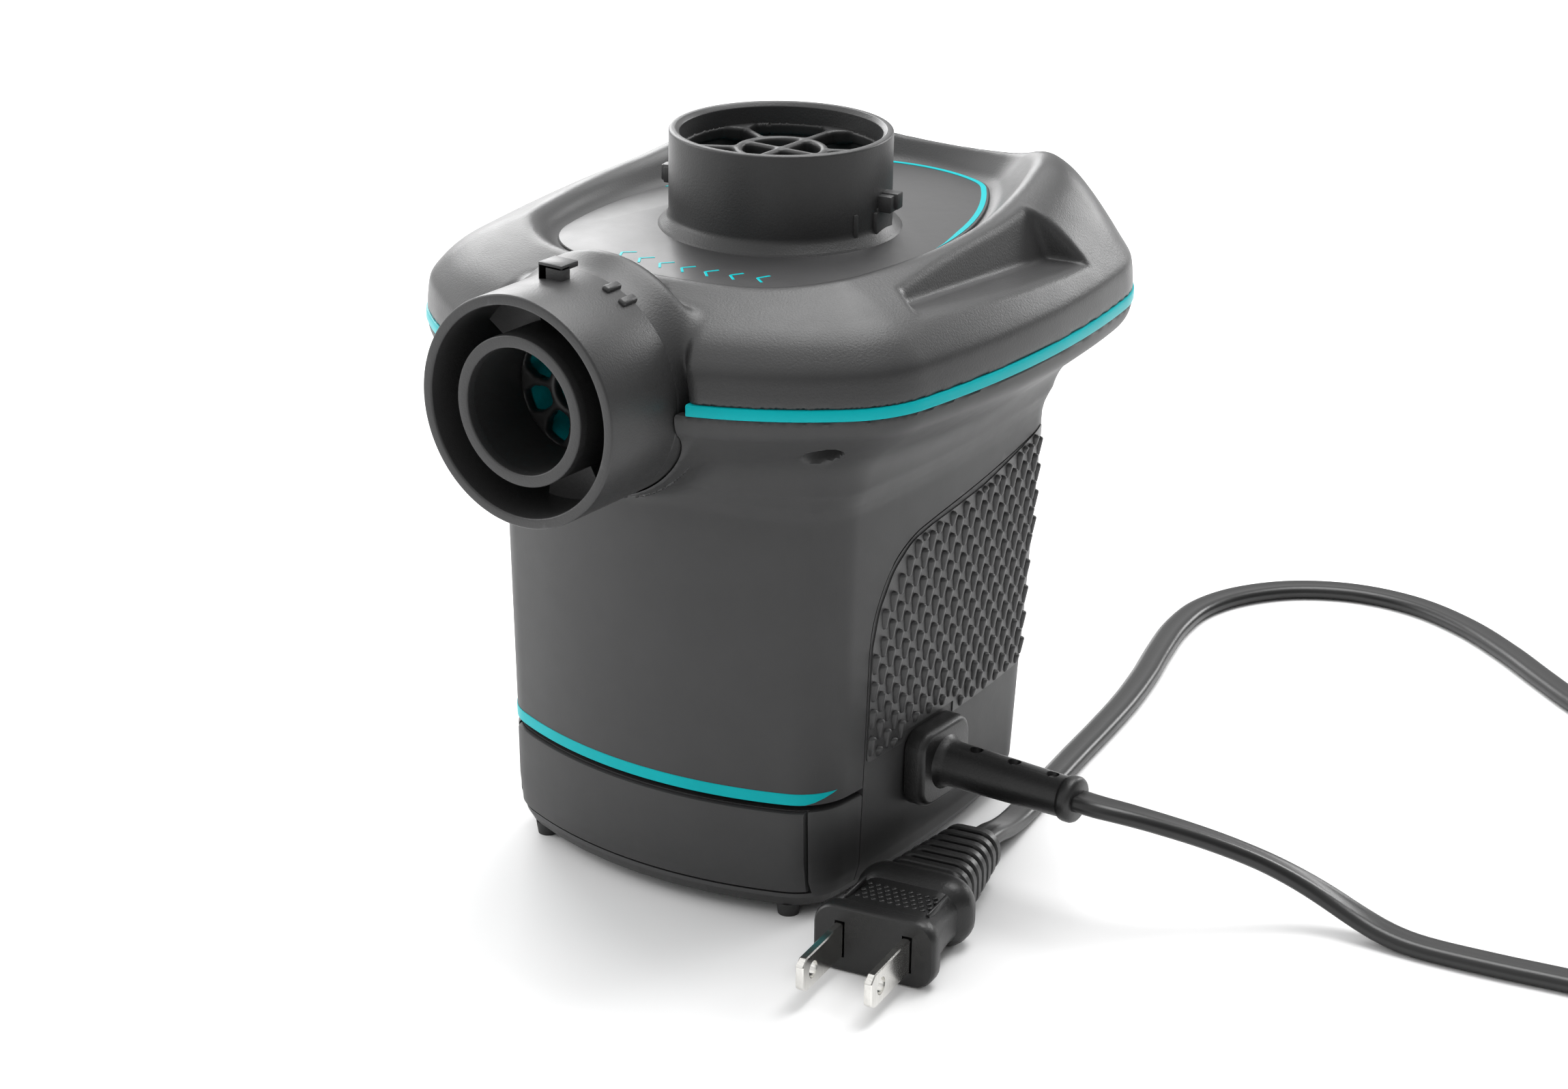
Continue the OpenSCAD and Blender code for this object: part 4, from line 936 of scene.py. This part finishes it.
for i in range(9):
    for j in range(5):
        m = Matrix.Translation((-6.2 + 1.55 * i + (0.78 if j % 2 else 0), 6.8 + 1.35 * j, 5.2 - 0.035 * j)) \
            @ Matrix.Rotation(math.radians(45), 4, "Z")
        studs.append(box_part((-0.42, -0.42, -0.3), (0.42, 0.42, 0.34), 0.12, 1, m))
rails = [box_part((x, 5.4, 4.4), (x + 0.7, 13.6, 5.75), 0.2, 1) for x in (-8.2, 7.5)]

def moved(part, m):
    v, f = part
    v = np.array(v, float)
    return np.array([tuple(m @ Vector(q)) for q in v]), f

plug = make("plug", *moved(plug_body, PLUG), "plug")
slots = [box_part((x - 0.95, -1, -3.45), (x + 0.95, 0.9, 3.45), 0) for x in (-BLADE_X, BLADE_X)]
cut(plug, moved(joined(slots), PLUG))
sharp(plug, 32)
knurl = make("plug_knurl", *moved(joined(studs + rails), PLUG), "plug")
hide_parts("plug_body")

def blade(x):
    rows = []
    for dx, e in ((-0.75, 0.22), (-0.55, 0), (0.55, 0), (0.75, 0.22)):
        out = rounded([(8, -3.2 + e), (-14.4, -3.2 + e), (-16 + e, -2.0), (-16 + e, 2.0), (-14.4, 3.2 - e),
                       (8, 3.2 - e)], [0, 0.6, 0.5, 0.5, 0.6, 0], 3)
        rows.append(np.array([(x + dx, a, b) for a, b in out]))
    return solid_part(rows)

blades = make("blades", *joined([blade(x) for x in (-BLADE_X, BLADE_X)]), "nickel", body=None)
cut(blades, joined([prism(1.6 * circle(40) + (-12, 0), 0, x - 2, x + 2) for x in (-BLADE_X, BLADE_X)]))
for v in blades.data.vertices:
    v.co = (PLUG @ (v.co / MM)) * MM
sharp(blades, 32)
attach(blades, "pump")
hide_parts("plug_blades")

# ---------------------------------------------------------------- cord
LEAD = [
    [69, 2, 22.3], [73, 2.1, 22.2], [78, 4.4, 21.2], [83, 8, 19.3], [88, 12, 17], [93, 16, 14.4],
    [98, 19.8, 11.5], [103, 22.5, 8.7], [108, 24, 6.2], [114, 24.6, 3.7], [120, 24.6, 2.1],
    [127, 24.8, 1.5], [139, 26.3, 1.5], [151.2, 28.5, 1.5], [165.4, 31, 1.5], [178.7, 36.3, 1.5],
    [190.1, 44.8, 1.5], [199, 56, 1.5], [204.6, 69.3, 1.5], [206.3, 80, 1.5], [206.2, 88, 1.5]]
TAIL = [
    [173, 121.2, 10.8], [160, 122.4, 8.6], [147, 124.6, 5.2], [134, 128, 2.6], [121, 133, 1.5],
    [108, 140, 1.5], [96, 148.4, 1.5], [84, 157.2, 1.5], [71, 165, 1.5], [57, 169.6, 1.5],
    [43, 168.8, 1.5], [31, 162.4, 1.5], [23, 152, 1.5], [19.6, 140, 1.5], [20.6, 127, 1.5],
    [24, 113.5, 1.5], [28, 100, 1.5], [31.4, 86, 1.5], [34, 72, 1.5], [36.3, 58, 1.5],
    [38.6, 45, 1.5], [40.8, 33, 1.5], [42.4, 25, 2], [44, 18, 3.4], [45.2, 12, 5.1], [46.2, 5.9, 6.1]]
COIL = (173.0, 88.0)         # the coil's centre
COIL_OUT, COIL_IN = 33.2, 27.0                           # the radii of its two columns
CORD_W, CORD_T = 5.8, 2.9
DECKS = (1.55, 4.65, 7.75, 10.8)

def coil_points():
    """The turns fill the outer and inner columns deck by deck, from the lead up to the tail."""
    turns = [(COIL_OUT, DECKS[0]), (COIL_IN, DECKS[0]), (COIL_IN, DECKS[1]), (COIL_OUT, DECKS[1]),
             (COIL_OUT, DECKS[2]), (COIL_IN, DECKS[2]), (COIL_OUT, DECKS[3])]
    per, total = 72, 6.25                      # starts on the +X side and ends on the +Y side
    out = []
    for i in range(1, int(per * total) + 1):
        a = i / per
        k = int(a)
        here, after = turns[k], turns[min(k + 1, len(turns) - 1)]
        w = step((a - k - 0.72) / 0.28)        # each turn passes to the next place in its last quarter
        r, z = (u * (1 - w) + v * w for u, v in zip(here, after))
        out.append([COIL[0] + r * math.cos(2 * math.pi * a), COIL[1] + r * math.sin(2 * math.pi * a), z])
    return np.array(out)

def sweep_flat(path, n_arc=8):
    """A flat two-core cord along a path: two round cores side by side, joined by a web."""
    core = CORD_T / 2
    sec = []
    for side, a0, a1 in ((1, -115, 115), (-1, 65, 295)):
        for k in range(n_arc + 1):
            a = math.radians(a0 + (a1 - a0) * k / n_arc)
            sec.append((side * (CORD_W - CORD_T) / 2 + core * math.cos(a), core * math.sin(a)))
    sec = np.array(sec)
    p = np.asarray(path, float)
    d = np.gradient(p, axis=0)
    d /= np.linalg.norm(d, axis=1)[:, None]
    side = np.cross(d, [0, 0, 1.0])
    side /= np.linalg.norm(side, axis=1)[:, None]
    upv = np.cross(side, d)
    return solid_part(p[:, None] + side[:, None] * sec[None, :, :1] + upv[:, None] * sec[None, :, 1:])

cord_line = np.concatenate([catmull(LEAD, 2.0), coil_points(), catmull(TAIL, 2.0)])
keep = np.concatenate([[True], np.linalg.norm(np.diff(cord_line, axis=0), axis=1) > 0.4])
cord_line = cord_line[keep]
cord_len = float(np.linalg.norm(np.diff(cord_line, axis=0), axis=1).sum())
print("cord length mm", round(cord_len, 1))
cord = make("power_cord", *sweep_flat(cord_line), "cord")
sharp(cord, 50)
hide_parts("cord_lead", "cord_coil", "cord_tail")
# the tie round the coil's two columns, with its head on top and its tail beside it
TIE_X, TIE_TOP, TIE_FLOOR = 6.3, 3.1, -5.3
tie_at = Matrix.Translation((COIL[0] - 30.1, COIL[1], 6.3)) @ Matrix.Rotation(math.radians(-8), 4, "Z")
loop = []
for y, o in ((-2.4, 0.15), (-2.5, 0.3), (-2.4, 0.75), (-2, 0.9), (2, 0.9), (2.4, 0.75), (2.5, 0.3),
             (2.4, 0.15)):
    w, hi, lo = TIE_X + o, TIE_TOP + o, TIE_FLOOR - o
    ring = rounded([(w, lo), (w, hi), (-w, hi), (-w, lo)], 1.6 + o, 6)
    loop.append(np.array([(x, y, z) for x, z in ring]))
tie = make("cord_tie", *moved(joined([ring_part(loop), box_part((-3, -3.4, 3.4), (3, 3.4, 6.2), 0.6, 2),
                                      box_part((2.6, -1.9, 4.3), (10, 1.9, 5.2), 0.4, 2)]), tie_at), "plug")
sharp(tie, 35)
[tuple(q * MM) for q in cord_line]

# ---------------------------------------------------------------- stage
def floor(half=4.0):
    me = bpy.data.meshes.new("floor")
    corners = [(-half, -half, 0), (half, -half, 0), (half, half, 0), (-half, half, 0)]
    me.from_pydata(corners, [], [(0, 1, 2, 3)])
    o = bpy.data.objects.new("floor", me)
    bpy.context.scene.collection.objects.link(o)
    m, t, b = nodes_of("floor_white")
    b.inputs["Base Color"].default_value = (0.93, 0.93, 0.93, 1)
    b.inputs["Roughness"].default_value = 0.6
    b.inputs["Specular IOR Level"].default_value = 0.2
    me.materials.append(m)

def area(name, loc, target, size, power):
    """A square area light, in metres and watts."""
    l = bpy.data.lights.new(name, "AREA")
    l.energy = power
    l.shape = "RECTANGLE"
    l.size = l.size_y = size
    o = bpy.data.objects.new(name, l)
    bpy.context.scene.collection.objects.link(o)
    o.location = loc
    o.rotation_euler = (Vector(target) - Vector(loc)).to_track_quat("-Z", "Y").to_euler()

# the world is brightest along one direction, up and to the left, and dims away from it
BRIGHT_WAY = (-0.80, -0.10, 0.59)
FADE_FROM, FADE_TO = (-0.45, 0.95), (0.26, 1.25)
floor()
w = bpy.data.worlds.new("world")
w.use_nodes = True
wt = w.node_tree
wt.nodes["Background"].inputs["Color"].default_value = (1, 1, 1, 1)
way = wt.nodes.new("ShaderNodeVectorMath")
way.operation = "DOT_PRODUCT"
way.inputs[1].default_value = BRIGHT_WAY
wt.links.new(wt.nodes.new("ShaderNodeTexCoord").outputs["Generated"], way.inputs[0])
fade = map_range(wt, way.outputs["Value"], FADE_FROM, FADE_TO)
wt.links.new(fade, wt.nodes["Background"].inputs["Strength"])
bpy.context.scene.world = w
bpy.context.scene.view_settings.view_transform = "Standard"
area("top_light", (0.0, 0.3, 0.95), (0, 0, 0.08), 0.7, 9.5)
area("left_light", (-0.95, -0.35, 0.5), (0, 0, 0.07), 0.6, 3.2)
area("back_light", (-0.80, 0.60, 0.46), (-0.01, 0, 0.115), 0.5, 5)
area("right_back_light", (0.25, 1.0, 0.42), (0.03, 0.02, 0.115), 0.3, 3.5)
